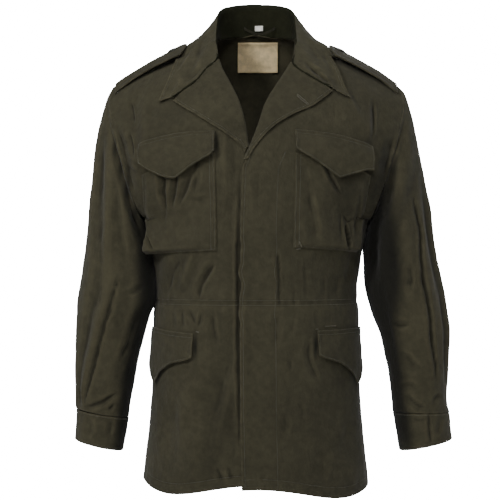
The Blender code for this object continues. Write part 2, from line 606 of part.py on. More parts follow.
def sleeve(name, side, rows, folds):
    """A tube from the armhole to the cuff seam."""
    points, ways = armhole(side)
    angles = ring_angles(points)
    table = [row[1:] for row in rows]
    places = grid_rows(rows)
    outer_lean, body_lean = ARM_LEAN[side]
    lean = body_lean + (outer_lean - body_lean) * (1 + np.cos(np.radians(angles))) / 2
    down = np.stack([side * lean, 0 * lean, -1 + 0 * lean], -1)
    under = eased((1 - np.cos(np.radians(angles))) / 1.1)[:, None]
    leave = unit(ways * (1 - under) + unit(np.array([0.25 * side, 0.0, -1.0])) * under)
    outward = unit(points - points.mean(0))
    clear = np.array([side * UNDERARM_CLEARANCE, 0, 0]) + outward * 0.1
    start = points + ways * SEAM * (1 - under) + clear * under
    end = arm_ring(smooth_rows(table, 0.0), angles, side)
    way = np.linalg.norm(end - start, axis=1)[:, None]
    rings = []
    for share in np.concatenate([[0, NARROW_STEP], np.linspace(0, 1, CAP_STEPS + 1)[1:-1]]):
        s2, s3 = share ** 2, share ** 3
        rings.append((2 * s3 - 3 * s2 + 1) * start + (s3 - 2 * s2 + share) * leave * way * CAP_REACH
                     + (3 * s2 - 2 * s3) * end + (s3 - s2) * down * way * ARM_REACH)
    for place in places:
        rings.append(arm_ring(smooth_rows(table, place), angles, side))
    grid = np.array(rings)
    axis = grid.mean(1, keepdims=True)
    out = unit((grid - axis) * np.array([1, 1, 0]))
    bend = np.degrees(np.arctan2(-(grid - axis)[..., 1], side * (grid - axis)[..., 0])) % 360
    depth = fold_depth(bend, grid[..., 2], folds)
    fade = np.ones(len(grid))[:, None]
    fade[:3] = 0
    fade[-1] = 0
    grid = grid - out * (depth * fade)[..., None]
    return sheet(name, grid, CLOTH, ring=True)


def cuff(name, side, rows):
    """A band round the wrist whose end laps over its start."""
    turn = np.linspace(0, 360 + CUFF_LAP, CUFF_STEPS + 3)
    angles = CUFF_START + turn
    over = eased((turn - 300) / 60) * (CUFF_CLOTH + 0.5)
    table = np.array(rows, float)
    grid = []
    for place in np.linspace(0, len(rows) - 1, 4):
        ring = arm_ring(smooth_rows(table, place), angles, side)
        centre = arm_ring(smooth_rows(table, place), np.array([0.0, 180.0]), side).mean(0)
        out = unit((ring - centre) * np.array([1, 1, 0]))
        grid.append(ring + out * over[:, None])
    return sheet(name, np.array(grid), CUFF_CLOTH, flip=side < 0)


# ---- lapels and collar ---------------------------------------------------------------------------
def along(outline, shares):
    """Points at shares of an outline's length."""
    outline = np.array(outline, float)
    steps = np.linalg.norm(np.diff(outline, axis=0), axis=1)
    places = np.concatenate([[0], np.cumsum(steps)]) / steps.sum()
    return np.stack([np.interp(shares, places, outline[:, k]) for k in range(outline.shape[1])], -1)


def roll_line(edge, low, high, count):
    """Heights and x of the roll line between two heights."""
    z = np.linspace(low, high, count)
    return np.stack([edge_x(edge, z), z], -1)


def lapel(name, half, edge, outline, gorge, break_z):
    """The turned-back top of a front: facing inside the roll line, a round fold, and the lapel."""
    roll = roll_line(edge, break_z, gorge[0][1], LAPEL_ROWS + 1)
    outer = along(outline, np.linspace(0, 1, LAPEL_ROWS + 1))
    outer[0] += (outer[1] - outer[0]) * 0.25
    across = np.array(LAPEL_ACROSS)
    grid = []
    gorge_line = along(gorge, across)
    for row in range(LAPEL_ROWS + 1):
        share = row / LAPEL_ROWS
        straight = roll[row] + (outer[row] - roll[row]) * across[:, None]
        bend = eased((share - 0.55) / 0.45)
        bow = (gorge_line - (gorge_line[0] + (gorge_line[-1] - gorge_line[0]) * across[:, None])) * bend
        flat = straight + bow
        t = half.t_at(flat[:, 0], flat[:, 1])
        spread = min(1.0, 0.35 + share * 2.0)
        lift = LAPEL_FOLD_LIFT + (LAPEL_LIFT - LAPEL_FOLD_LIFT) * np.sqrt(across) * spread
        face = half.lifted(t, flat[:, 1], lift)
        grid.append(np.concatenate([fold_in(half, t[0], flat[0, 1], lift[0], share), face]))
    return sheet(name, np.array(grid), LAPEL_CLOTH, colour="cloth_light", flip=half.side > 0)


def fold_in(half, t, z, lift, share):
    """Points of the facing: from inside the front, round its free edge, up to the lapel's first point."""
    v = half.v_at(t, z)
    edge = half.point(t, v)
    normal = half.plain_normal(t, v)
    step = half.point(t + 0.01, v) - edge
    inward = -unit(step)  # past the free edge, in the cloth's plane
    inner = CLOTH + lift
    middle = edge + normal * (lift - inner) / 2
    radius = (lift + inner) / 2
    wrap = LAPEL_WRAP * min(1.0, 0.4 + 2 * share)
    turned = [edge - normal * inner - inward * wrap, edge - normal * inner - inward * wrap * 0.4]
    for angle in (-90, -45, 0, 45):
        bend = math.radians(angle)
        turned.append(middle + inward * (radius * math.cos(bend) + 0.4) + normal * radius * math.sin(bend))
    return np.array(turned)


def collar_half(half, front_edge, gorge):
    """Sections of the collar from the notch to the centre back, each from seam to fold to edge."""
    sections = []
    across = np.array(COLLAR_ACROSS)
    gorge_points = along(gorge, np.linspace(1, 0, COLLAR_FRONT_SECTIONS))
    edge_points = along(front_edge, np.linspace(1, 0, COLLAR_FRONT_SECTIONS))
    for seam, edge in zip(gorge_points, edge_points):
        begin = seam + unit(edge - seam) * 2 * SEAM
        flat = begin + (edge - begin) * across[:, None]
        lift = COLLAR_LIFTS[0] + (COLLAR_LIFTS[1] - COLLAR_LIFTS[0]) * np.sqrt(across)
        t = half.t_at(flat[:, 0], flat[:, 1])
        face = half.lifted(t, flat[:, 1], lift)
        sections.append(np.concatenate([np.repeat(face[:1], 3, 0), face]))
        sections[-1][:3] += np.linspace(-1, -0.25, 3)[:, None] * 0.6 * unit(face[1] - face[0])
    table = np.array(COLLAR_BACK_ROWS, float)
    table[:, 6] *= COLLAR_SPREAD[half.side]
    table[:, [0, 3, 6]] *= half.side
    for row in smooth_rows(table, np.linspace(0, len(table) - 1, COLLAR_SECTIONS)):
        seam, fold, edge = row[:3], row[3:6], row[6:]
        out = unit((edge - fold) * np.array([1, 1, 0]))
        stand = [seam + (fold - seam) * share for share in COLLAR_STAND]
        top, over = (fold + out * reach + np.array([0, 0, rise]) for reach, rise in COLLAR_FOLD)
        fall = [over + (edge - over) * share for share in COLLAR_FALL]
        sections.append(np.array(stand + [top, over] + fall))
    return np.array(sections)


def collar():
    right = collar_half(front_right, RIGHT_COLLAR_FRONT_EDGE, RIGHT_GORGE)
    left = collar_half(front_left, LEFT_COLLAR_FRONT_EDGE, LEFT_GORGE)
    sections = np.concatenate([right, left[-2::-1]])
    return sheet("collar", sections, COLLAR_CLOTH, colour="cloth_light", flip=True)


# ---- pockets and flaps ---------------------------------------------------------------------------
def chest_pocket(name, half, outline):
    """A patch whose inner edge is sewn flat and whose outer and lower edges stand off on a gusset."""
    across = np.array([0.0, 0.04, 0.16, 0.32, 0.5, 0.68, 0.82, 0.93, 1.0])
    down = np.array([0.0, 0.12, 0.28, 0.46, 0.64, 0.8, 0.92, 0.965, 1.0])
    inner_x, inner_z, outer_x, outer_z = along(outline, down).T
    t_in, t_out = half.t_at(inner_x, inner_z), half.t_at(outer_x, outer_z)
    t = t_in[:, None] + (t_out - t_in)[:, None] * across
    z = inner_z[:, None] + (outer_z - inner_z)[:, None] * across
    shares, mouth, bottom = np.array(POCKET_LIFTS).T
    mouth, bottom = np.interp(across, shares, mouth), np.interp(across, shares, bottom)
    lift = mouth * (1 - down[:, None]) + bottom * down[:, None]
    gusset = 1 - eased((down - 0.93) / 0.07)[:, None]
    lift = POCKET_SEAM_LIFT + (lift - POCKET_SEAM_LIFT) * gusset
    return sheet(name, half.lifted(t, z, lift), CLOTH)


def flap(name, half, t, top, low, lifts):
    """A flap sewn along its top edge, over a grid from the top edge to its lower outline."""
    w = np.linspace(0, 1, FLAP_ROWS + 1)
    z = top[None, :] + (low - top)[None, :] * w[:, None]
    lift = np.repeat(np.array(lifts)[:, None], len(t), 1)
    return sheet(name, half.lifted(np.repeat(t[None, :], len(w), 0), z, lift), CLOTH, flip=half.side > 0)


def chest_flap(name, half, outline):
    x, top, low = np.array(outline, float).T
    places = np.unique(np.concatenate([x, np.linspace(x[0], x[-1], FLAP_COLUMNS + 1)]))
    places = places[np.concatenate([[True], np.diff(places) > 2.5])]
    places[-1] = x[-1]
    top, low = np.interp(places, x, top), np.interp(places, x, low)
    return flap(name, half, half.t_at(places, top), top, low, CHEST_FLAP_LIFTS)


def hip_flap(name, half, outline):
    top, low = np.array(outline, float).T
    shares = np.unique(np.concatenate([HIP_ALONG, np.linspace(0, 1, FLAP_COLUMNS + 1)]))
    top, low = np.interp(shares, HIP_ALONG, top), np.interp(shares, HIP_ALONG, low)
    first = float(half.t_at(HIP_INNER_X[half.side], top[0]))
    t = first + (HIP_OUTER_SHARE - first) * shares
    return flap(name, half, t, top, low, HIP_FLAP_LIFTS)


# ---- shoulder straps and buttons -----------------------------------------------------------------
def roof(side):
    """Dense points and normals of the shoulder's outer surface, front and back."""
    halves = (front_left, back_left) if side > 0 else (front_right, back_right)
    t, v = np.meshgrid(np.linspace(0.2, 1, 90), np.linspace(ROOF_ROW, len(FRONT_ROWS) - 1, 110))
    points = np.concatenate([half.plain_point(t, v).reshape(-1, 3) for half in halves])
    normals = np.concatenate([half.plain_normal(t, v).reshape(-1, 3) for half in halves])
    return points, normals


def on_roof(side, x, y, lift):
    """Points over the shoulder at (x, y), moved out by lift."""
    points, normals = roof(side)
    wanted = np.stack([side * np.asarray(x, float), np.asarray(y, float)], -1)
    made, ways = [], []
    for target, rise in zip(wanted.reshape(-1, 2), np.ravel(lift)):
        nearest = np.argmin(((points[:, :2] - target) ** 2).sum(1))
        near, normal = points[nearest], normals[nearest]
        slope = -(normal[:2] @ (target - near[:2])) / normal[2]
        made.append(np.array([*target, near[2] + slope]) + normal * rise)
        ways.append(normal)
    shape = np.shape(x)
    return np.array(made).reshape(*shape, 3), np.array(ways).reshape(*shape, 3)


def strap(name, side):
    """Shoulder strap from the armhole seam to its pointed end beside the collar."""
    shares = np.linspace(0, 1, len(STRAP_LIFTS))
    across = np.linspace(-1, 1, 7)
    y = STRAP_HALF_WIDTH * across[None, :] + 2.0 + 0 * shares[:, None]
    tip = STRAP_TIP_X[side] + STRAP_TIP_LENGTH * np.abs(across) ** 1.4
    x = STRAP_END_X + (tip[None, :] - STRAP_END_X) * shares[:, None]
    points, _ = on_roof(side, x, y, np.repeat(np.array(STRAP_LIFTS)[:, None], 7, 1))
    return sheet(name, points, STRAP_CLOTH)


def strap_button(name, side):
    share = (STRAP_END_X - STRAP_BUTTON_X) / (STRAP_END_X - STRAP_TIP_X[side])
    lift = float(np.interp(share, np.linspace(0, 1, len(STRAP_LIFTS)), STRAP_LIFTS))
    points, ways = on_roof(side, np.array([STRAP_BUTTON_X]), np.array([2.0]), np.array([lift + 0.5]))
    return button(name, points[0], ways[0])


def cuff_button(name, side, rows):
    angle = CUFF_START + 360 + 6
    row = smooth_rows(np.array(rows, float), 1.0)
    ring = arm_ring(row, np.array([angle, 0.0, 180.0]), side)
    out = unit((ring[0] - ring[1:].mean(0)) * np.array([1, 1, 0]))
    return button(name, ring[0] + out * (CUFF_CLOTH + 0.5 + 0.6), out)


# ---- inside the neck -----------------------------------------------------------------------------
def stand_inner(x, z):
    """Points just inside the collar stand at x and height z."""
    table = np.array(COLLAR_BACK_ROWS, float)
    fine = smooth_rows(table, np.linspace(2.0, 4.0, 60))[::-1]
    share = (z - np.interp(np.abs(x), fine[:, 0], fine[:, 2])) / (
        np.interp(np.abs(x), fine[:, 0], fine[:, 5]) - np.interp(np.abs(x), fine[:, 0], fine[:, 2]))
    seam_y = np.interp(np.abs(x), fine[:, 0], fine[:, 1])
    fold_y = np.interp(np.abs(x), fine[:, 0], fine[:, 4])
    return np.stack([x, seam_y + (fold_y - seam_y) * share, z], -1)


def size_tag():
    x, z = np.meshgrid(np.linspace(*TAG_X, 4), np.linspace(*TAG_Z, 3))
    points = stand_inner(x, z)
    points[..., 1] -= LINING_CLEARANCE
    return sheet("size_tag", points, LABEL_CLOTH, colour="tag")


def hanger_loop():
    """Tape loop sewn at both ends to the foot of the collar stand."""
    share = np.linspace(-1, 1, 13)
    x = LOOP_CENTRE_X + LOOP_HALF_SPAN * share
    drop = LOOP_SAG * (1 - share ** 2)
    rows = []
    for edge in (0.5, -0.5):
        points = stand_inner(x, LOOP_Z + edge * LOOP_WIDTH + 0 * x)
        points[:, 1] -= LINING_CLEARANCE + LOOP_STANDS_OFF * (1 - share ** 4)
        points[:, 2] -= drop
        rows.append(points)
    return sheet("hanger_loop", np.array(rows), LABEL_CLOTH, colour="tape")


def neck_label():
    """Label sewn inside the back, below the neck seam."""
    x, z = np.meshgrid(np.linspace(*LABEL_X, 7), np.linspace(*LABEL_Z[::-1], 5))
    t = back_left.t_at(np.abs(x), z)
    v = back_left.v_at(t, z)
    normal = back_left.plain_normal(t, v)
    normal[..., 0] *= np.sign(x) + (x == 0)
    points = back_left.point(t, v)
    points[..., 0] = x
    inside = points - normal * (CLOTH + LABEL_CLEARANCE)
    return sheet("neck_label", inside, LABEL_CLOTH, colour="label")


# ---- the jacket ----------------------------------------------------------------------------------
for scene_object in list(bpy.data.objects):
    bpy.data.objects.remove(scene_object, do_unlink=True)
parts = collection_named("Field jacket")

front_left = BodyHalf(FRONT_ROWS, 1, LEFT_FRONT_FOLDS)
front_right = BodyHalf(FRONT_ROWS, -1, RIGHT_FRONT_FOLDS, under=True)
back_left = BodyHalf(BACK_ROWS, 1, BACK_FOLDS)
back_right = BodyHalf(BACK_ROWS, -1, BACK_FOLDS)

front_panel("front_left", front_left, LEFT_EDGE)
front_panel("front_right", front_right, RIGHT_EDGE)
back_panel()
sleeve("sleeve_left", 1, LEFT_SLEEVE_ROWS, LEFT_SLEEVE_FOLDS)
sleeve("sleeve_right", -1, RIGHT_SLEEVE_ROWS, RIGHT_SLEEVE_FOLDS)
cuff("cuff_left", 1, LEFT_CUFF_ROWS)
cuff("cuff_right", -1, RIGHT_CUFF_ROWS)
lapel("lapel_left", front_left, LEFT_EDGE, LEFT_LAPEL_EDGE, LEFT_GORGE, LEFT_BREAK_Z)
lapel("lapel_right", front_right, RIGHT_EDGE, RIGHT_LAPEL_EDGE, RIGHT_GORGE, RIGHT_BREAK_Z)
collar()
chest_pocket("chest_pocket_left", front_left, LEFT_POCKET)
chest_pocket("chest_pocket_right", front_right, RIGHT_POCKET)
chest_flap("chest_flap_left", front_left, LEFT_CHEST_FLAP)
chest_flap("chest_flap_right", front_right, RIGHT_CHEST_FLAP)
hip_flap("hip_flap_left", front_left, LEFT_HIP_FLAP)
hip_flap("hip_flap_right", front_right, RIGHT_HIP_FLAP)
for ending, wearer_side, cuff_rows in (("left", 1, LEFT_CUFF_ROWS), ("right", -1, RIGHT_CUFF_ROWS)):
    strap(f"shoulder_strap_{ending}", wearer_side)
    strap_button(f"strap_button_{ending}", wearer_side)
    cuff_button(f"cuff_button_{ending}", wearer_side, cuff_rows)
hanger_loop()
neck_label()
size_tag()
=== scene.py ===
"""Field jacket: hollow cotton shell with its creases, seams, stitching, pockets, flaps, straps and cuffs.

The surfaces repeat the solid jacket's own tables. Tables and named sizes are in millimetres, and meshes
are made in metres. +X is the wearer's left, -Y the front and +Z up. A side is +1 for the wearer's left
and -1 for the wearer's right.
"""

import math

import bmesh
import bpy
import numpy as np
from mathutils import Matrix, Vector


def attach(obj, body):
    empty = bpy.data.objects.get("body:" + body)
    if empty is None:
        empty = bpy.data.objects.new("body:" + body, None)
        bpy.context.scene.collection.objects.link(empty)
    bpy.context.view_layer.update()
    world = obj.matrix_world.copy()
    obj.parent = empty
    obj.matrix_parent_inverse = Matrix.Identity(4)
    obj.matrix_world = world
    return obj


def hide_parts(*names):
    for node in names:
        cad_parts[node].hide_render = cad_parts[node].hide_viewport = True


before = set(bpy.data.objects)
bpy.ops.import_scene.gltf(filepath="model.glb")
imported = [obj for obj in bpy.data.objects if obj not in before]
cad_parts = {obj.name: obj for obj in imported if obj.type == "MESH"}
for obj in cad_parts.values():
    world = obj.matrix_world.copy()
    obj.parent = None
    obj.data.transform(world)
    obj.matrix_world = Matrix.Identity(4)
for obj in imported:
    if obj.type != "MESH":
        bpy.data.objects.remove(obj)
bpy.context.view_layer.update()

bl_info = {
    "name": "Field Jacket",
    "version": (1, 0, 0),
    "blender": (4, 5, 0),
    "location": "3D View > Sidebar > Jacket",
    "description": "Makes a hollow field jacket with its creases, seams, stitches and trim",
    "category": "Add Mesh",
}

MM = 0.001
SIDE_NAMES = {1: "left", -1: "right"}


# ---- cloth and trim sizes ----
CLOTH = 1.5
LAPEL_CLOTH = 1.5
COLLAR_CLOTH = 2.0
CUFF_CLOTH = 2.4
STRAP_CLOTH = 2.4
LABEL_CLOTH = 1.0
EDGE_ANGLE = math.radians(58)  # sharper edges than this are rounded
SEAM = 0.3
SIDE_LAP = 0.2  # how far each panel reaches past the side seam
NECK_HALF_WIDTH = 65.0
BUTTON_DIAMETER = 17.0
SAMPLES = 400  # places at which a curve's length is measured
NARROW_STEP = 0.004  # a grid's last step at a seam, as a share of its row


# ---- body rows ----
# Each row is a cubic from the centre line out to the side edge. The side edge is the side seam up to
# the underarm and the armhole above it; the last row is the shoulder seam, run on to the centre.
# turn: plan angle of the cloth at the side edge (0 straight out, 90 straight back round the side).
# dip: how steeply the cloth falls there. rise: how steeply the row leaves the centre line.
ROW_COLUMNS = ("side_x", "side_y", "side_z", "turn", "dip", "side_pull",
               "centre_y", "centre_z", "centre_pull", "rise")
FRONT_ROWS = (
    (182, 4, -706, 90, 0, 78, -127, -704, 112, 0),  # hem
    (174.5, 4, -640, 90, 0, 78, -128, -640, 108, 0),
    (168, 4, -560, 90, 0, 78, -128, -558, 106, 0),  # hip
    (166, 4, -498, 90, 0, 78, -127, -494, 106, 0),
    (165.5, 4, -452, 90, 0, 74, -123, -448, 104, 0),
    (162.5, 4, -412, 90, 0, 70, -119, -406, 100, 0),  # waist
    (166, 4, -374, 90, 0, 72, -123, -364, 104, 0),
    (172, 4, -336, 90, 0, 74, -127, -322, 108, 0),
    (180, 4, -300, 90, 0, 74, -128, -284, 112, 0),  # underarm
    (184, -33, -291, 72, 4, 52, -128, -258, 112, 0),
    (191, -55, -272, 58, 8, 46, -127, -230, 112, 0),
    (202, -64, -240, 48, 10, 48, -124, -198, 112, 0),
    (214, -62, -200, 40, 14, 52, -117, -160, 112, 0),
    (226, -51, -159, 30, 20, 54, -105, -118, 112, 2),
    (235, -31, -118, 17, 30, 50, -82, -70, 116, 8),
    (236, -15, -95, 8, 35, 40, -50, -24, 122, 15),
    (232, 2, -80, 0, 38, 34, 6, 21, 128, 20),  # shoulder seam
)
BACK_ROWS = (
    (182, 4, -706, 90, 0, 70, 116, -712, 112, 0),  # hem
    (174.5, 4, -640, 90, 0, 70, 115, -644, 108, 0),
    (168, 4, -560, 90, 0, 68, 113, -562, 106, 0),  # hip
    (166, 4, -498, 90, 0, 66, 109, -498, 106, 0),
    (165.5, 4, -452, 90, 0, 64, 104, -450, 104, 0),
    (162.5, 4, -412, 90, 0, 62, 101, -408, 100, 0),  # waist
    (166, 4, -374, 90, 0, 64, 106, -366, 104, 0),
    (172, 4, -336, 90, 0, 68, 113, -324, 108, 0),
    (180, 4, -300, 90, 0, 70, 119, -284, 112, 0),  # underarm
    (184, 39, -291, 72, 4, 50, 123, -252, 112, 0),
    (191, 58, -270, 58, 8, 44, 125, -218, 112, 0),
    (203, 65, -236, 46, 10, 46, 124, -178, 112, 0),
    (216, 62, -196, 36, 14, 50, 119, -134, 112, 0),
    (227, 51, -156, 28, 20, 52, 110, -86, 112, 2),
    (235, 33, -116, 17, 30, 48, 94, -36, 116, 6),
    (236, 17, -94, 8, 35, 40, 68, 16, 122, 14),
    (232, 2, -80, 0, 38, 34, 6, 21, 128, 20),  # shoulder seam
)
UNDERARM_ROW = 8
NECK_ROW = 15  # the back neckline's centre lies on this row of BACK_ROWS
NECK_ROUNDNESS = 2.4  # 2 is an ellipse
HEM_SAG = 16.0  # how much lower the hem hangs half way round each panel
HEM_DROP = {1: 3, -1: 0}  # and at each side seam
HEM_LOWER = {1: 10, -1: 4}  # all of each front's hem, and the back's towards the side seam

# Free edge of each front, as x at each height: straight fly edge, then the lapel's roll line.
LEFT_EDGE = ((-760, -23), (-700, -23), (-600, -25), (-450, -26), (-300, -25), (-215, -22),
             (-190, -11), (-165, -0.5), (-147, 6), (-110, 18), (-78, 37), (-46, 56), (-20, 62), (30, 65))
RIGHT_EDGE = ((-760, -30), (-700, -30), (-240, -30), (-218, -18), (-202, 4), (-190, 12),
              (-182, 15), (-165, 17.5),
              (-150, 20), (-133, 23.5), (-110, 30), (-87, 41), (-47, 61), (-20, 64), (30, 65))
FLY_WAVES = (-470, -320, 1.8)  # the fly's edge waves between these heights, by this much
FLY_DEPTH = 2.6  # how far the right front lies under the left one
BREAK_DEPTH = 6.2  # and at the lapels' break, where the left facing turns in between them
FLY_HEIGHTS = ((-260, FLY_DEPTH), (-222, BREAK_DEPTH), (-160, BREAK_DEPTH), (-134, 0))
FLY_BLEND = (52, 34)  # the right front steps down between these distances from the centre


# ---- lapels and collar ----
LAPEL_WRAP = 12.0  # facing that turns inside past the roll line
LAPEL_LIFT = 4.0  # how far the lapel's outer face stands off the front at its outer edge
LAPEL_FOLD_LIFT = LAPEL_CLOTH + 0.9  # and at the roll line
LAPEL_ROWS = 9
FACING_COLUMNS = 22
LAPEL_ACROSS = (0, 0.16, 0.38, 0.6, 0.8, 1)  # grid columns from the roll line out to the edge
# Lapel outer edge from the break up to the tip, then the gorge from the roll line out to the notch.
LEFT_LAPEL_EDGE = ((-14, -206), (-5, -187), (14, -163), (40, -141.5), (66, -128), (92, -117),
                   (119, -95))
LEFT_GORGE = ((57, -47), (70, -63), (95, -78), (115, -88.5))
LEFT_BREAK_Z = -203.0
RIGHT_BREAK_Z = -183.0
RIGHT_LAPEL_EDGE = ((17, -196), (20, -187), (25, -178), (42, -166), (62, -153), (85, -139), (108, -124.5),
                    (130, -109.5))
RIGHT_GORGE = ((62, -41), (77, -56), (93, -76), (117, -95), (131, -104.5))

# Collar sections from the notch round to the centre back. seam, fold and edge are the points where the
# collar is sewn, where it folds over and where it ends.
COLLAR_SECTIONS = 13  # from the roll line to the centre back
COLLAR_FRONT_SECTIONS = 5  # along the gorge
COLLAR_ACROSS = (0, 0.12, 0.3, 0.5, 0.7, 0.86, 1)  # grid points from the gorge out to the edge
COLLAR_STAND = (-0.17, 0.5, 0.88)  # grid points up the stand, from a seam allowance below its seam
STAND_TUCKS = ((22, 50), (-3, 3))  # at these x the allowance lies this far inside the neckline
STAND_COLUMNS = 24  # grid columns up to the fold
COLLAR_STAND_SHARE = 0.72  # how much of the collar's length has a stand
COLLAR_FALL = (0.22, 0.46, 0.7, 0.86, 1)  # and down the fall
GORGE_STEP = 0.2  # the collar stands this far over the lapel at the gorge
COLLAR_LIFT = 6.4  # off the front, at the edge
COLLAR_FOLD = ((2.6, 1.2), (5.4, -1))  # the fold's two points: out and up from the top of the stand
COLLAR_BACK_ROWS = (
    # seam x y z         fold x y z          edge x y z
    (64.5, -26, -18, 62.5, -27, -10, 120, -20, -33),
    (65, 5, 0.8, 62, 3, 16, 106, 6, -9),
    (59, 34, 9, 57, 34, 48, 94, 48, -7),
    (36, 57, 15.5, 34, 56, 60, 54, 84, -8),
    (0, 67, 18, 0, 65, 64, 0, 92, -12),
)
COLLAR_SPREAD = {1: 1.06, -1: 1.04}  # the left side of the fall spreads a little wider
LEFT_COLLAR_FRONT_EDGE = ((118, -37), (127, -56), (134, -77), (145, -108))
RIGHT_COLLAR_FRONT_EDGE = ((126, -40), (134, -64), (142, -85), (152, -112))


# ---- sleeves ----
# Rings down the arm. outer_x and inner_x are the silhouette seen from the front; tilt lowers the
# body side of the ring below its centre and raises the outer side by the same.
LEFT_SLEEVE_ROWS = (
    # z  outer_x inner_x mid_y half_depth tilt
    (-356, 291, 175.5, 0, 67, 0),
    (-400, 301, 175.5, -3, 64, 0),
    (-440, 307, 185, -8, 60, 0),
    (-480, 309, 200, -14, 54, 2),
    (-530, 307, 210, -19, 48, 2),
    (-575, 306, 215.5, -24, 44, 1),
    (-601, 310, 218.5, -27, 42, 0),
)
RIGHT_SLEEVE_ROWS = (
    (-352, 279, 171.8, 0, 67, 0),
    (-390, 284, 167, -3, 65, 0),
    (-422, 287.5, 167, -5, 62, 0),
    (-446, 289, 177, -8, 59, 0),
    (-485, 291, 184, -12, 54, 2),
    (-530, 292, 192.5, -18, 49, 3),
    (-575, 290, 200, -23, 45, 5),
    (-602, 289, 204, -26, 43, 7),
)
CAP_REACH = 0.28  # how far the sleeve keeps the armhole's direction, as a share of the distance to go
UNDERARM_LEAN = 0.25  # how far out it leaves the underarm, for each step down
UNDERARM_CLEARANCE = 0.5  # the sleeve hangs just off the body below the armhole
ARM_REACH = 0.95  # and how far up it already has the arm's direction
ARM_LEAN = {1: (0.17, 0), -1: (0.09, 0)}  # how far the arm leans out on its outer and body sides
# Broad folds: angle0, z0, angle1, z1, width, depth.
LEFT_SLEEVE_FOLDS = (
    (38, -240, 22, -545, 11, 6),
    (20, -260, 12, -540, 9, -4),
    (62, -235, 70, -420, 13, 3.5),
    (225, -430, 300, -500, 16, 4),
    (200, -460, 260, -540, 16, 3.5),
)
RIGHT_SLEEVE_FOLDS = (
    (65, -400, 28, -590, 11, 5),
    (84, -410, 50, -580, 10, -3),
    (52, -190, 58, -340, 12, 4),
    (225, -430, 300, -500, 16, 4),
    (200, -460, 260, -540, 16, 3.5),
)


# ---- cuffs ----
CUFF_RISES = (300.0, 60.0)  # degrees from which, and over which, the end rises onto the start
CUFF_LAP_GAP = 0.5
CUFF_LAP = 26.0  # degrees by which the cuff's end laps over its start
# Columns: z, outer_x, inner_x, mid_y, half_depth, tilt.
LEFT_CUFF_ROWS = (
    (-601.7, 309.5, 218.5, -27, 43.5, 0),
    (-629, 311.5, 224, -29, 42.5, 4),
    (-654, 313.5, 228.5, -31, 42, 9),
)
RIGHT_CUFF_ROWS = (
    (-603.5, 288.5, 203.5, -26, 43.5, 7),
    (-629, 289, 208, -29, 42.5, 8),
    (-654, 290.5, 213, -32, 42, 9),
)
CUFF_START = -52.0  # degrees: where the cuff's end comes, behind the outer side


# ---- pockets ----
# Places are seen from the front. Lifts are how far the outer face stands off the front.
POCKET_SEAM_LIFT = 2.3
# share along the pocket, lift at the mouth, lift at the bottom
POCKET_LIFTS = ((0, 2.3, 2.3), (0.12, 4.5, 6), (0.5, 6.5, 10), (0.88, 7, 15.5), (1, 2.6, 2.6))
# How far the gusset's side stands out, halfway down and at the foot.
POCKET_FLARE = {1: (1, 2), -1: (6, 9)}
# A row for each height down the pocket: inner x, inner z, outer x, outer z.
LEFT_POCKET = ((60, -192, 178, -226), (59, -235, 170, -268), (57.5, -290, 162, -318),
               (56.5, -339, 156, -347))
RIGHT_POCKET = ((64.5, -192, 179, -226), (63.5, -240, 171, -272), (62, -295, 164, -318),
                (61.5, -344, 160, -350))

POCKET_COARSE = (11, 9)  # places down and across at which a pocket's way over the front is found
FLAP_POINTS = 45
CHEST_FLAP_LIFTS = (2.8, 6.8, 9.8, 12, 13.2, 13.6)
HIP_FLAP_LIFTS = (2.4, 3.4, 4.4, 5.2, 5.9, 6.4)
# A flap's outline, a row for each corner: x along the top edge, z of the top edge, z of the lower edge.
LEFT_CHEST_FLAP = ((60, -155.5, -186.5), (64, -155.8, -191), (96, -159, -209), (129.5, -163.5, -231),
                   (172, -175.5, -218.5), (183.5, -180.5, -218))
RIGHT_CHEST_FLAP = ((64.5, -158, -191), (69, -158, -197), (99, -158.5, -213), (128, -161.5, -232),
                    (150, -166, -228), (172, -172.5, -217), (183, -177, -208))
# Hip flaps run round to the side, so their rows give the place along the body row instead of x.
HIP_ALONG = (0, 0.06, 0.30, 0.50, 0.66, 0.86, 1)
LEFT_HIP_FLAP = ((-467.5, -507), (-467.4, -511), (-467, -520), (-466, -535), (-466, -556), (-466, -538),
                 (-466, -522))
RIGHT_HIP_FLAP = ((-472.5, -510), (-472, -514), (-470, -521), (-468, -534), (-466, -555), (-466, -538),
                  (-466, -522))
HIP_INNER_X = {1: 94, -1: 98}
HIP_OUTER_SHARE = 0.955


# ---- shoulder straps, loop, label and tag ----
STRAP_HALF_WIDTH = 23.0
ROOF_ROW = 13.0  # the shoulder's outer surface is read from this body row up
STRAP_TIP_X = {1: 113.5, -1: 108}
STRAP_TIP_LENGTH = 10.0
STRAP_END_X = 226.0
STRAP_ACROSS = 9
STRAP_LIFTS = (3.4, 5, 6.6, 8, 9.2, 10.2, 11, 11.8, 12.6)
STRAP_ARCH = 0.12  # how far the strap's long edges stand higher than its middle, as a share
STRAP_BUTTON_X = 131.0
STRAP_BUTTON_Y = 6.0
STRAP_BUTTON_SUNK = 1.2  # how far below the strap's face the button begins
CUFF_BUTTON_TURN = 366.0  # degrees round the cuff from its start
CUFF_BUTTON_LIFT = 1.1  # off the cuff's inner layer

LOOP_COLUMNS = 60
LOOP_HALF_SPAN = 25.0
LOOP_CENTRE_X = 6.0
LOOP_Z = 24.0
LOOP_SAG = 10.0
LOOP_WIDTH = 4.0
LOOP_STANDS_OFF = 8.0
LABEL_X = (-31, 37)
LABEL_Z = (4.5, -44.5)
TAG_X = (-2, 11.5)
TAG_Z = (19.8, 28.6)
LINING_CLEARANCE = 2.6  # from an inner face of the cloth to what is sewn on it
LABEL_CLEARANCE = 2.2  # the label is flatter than the back behind it


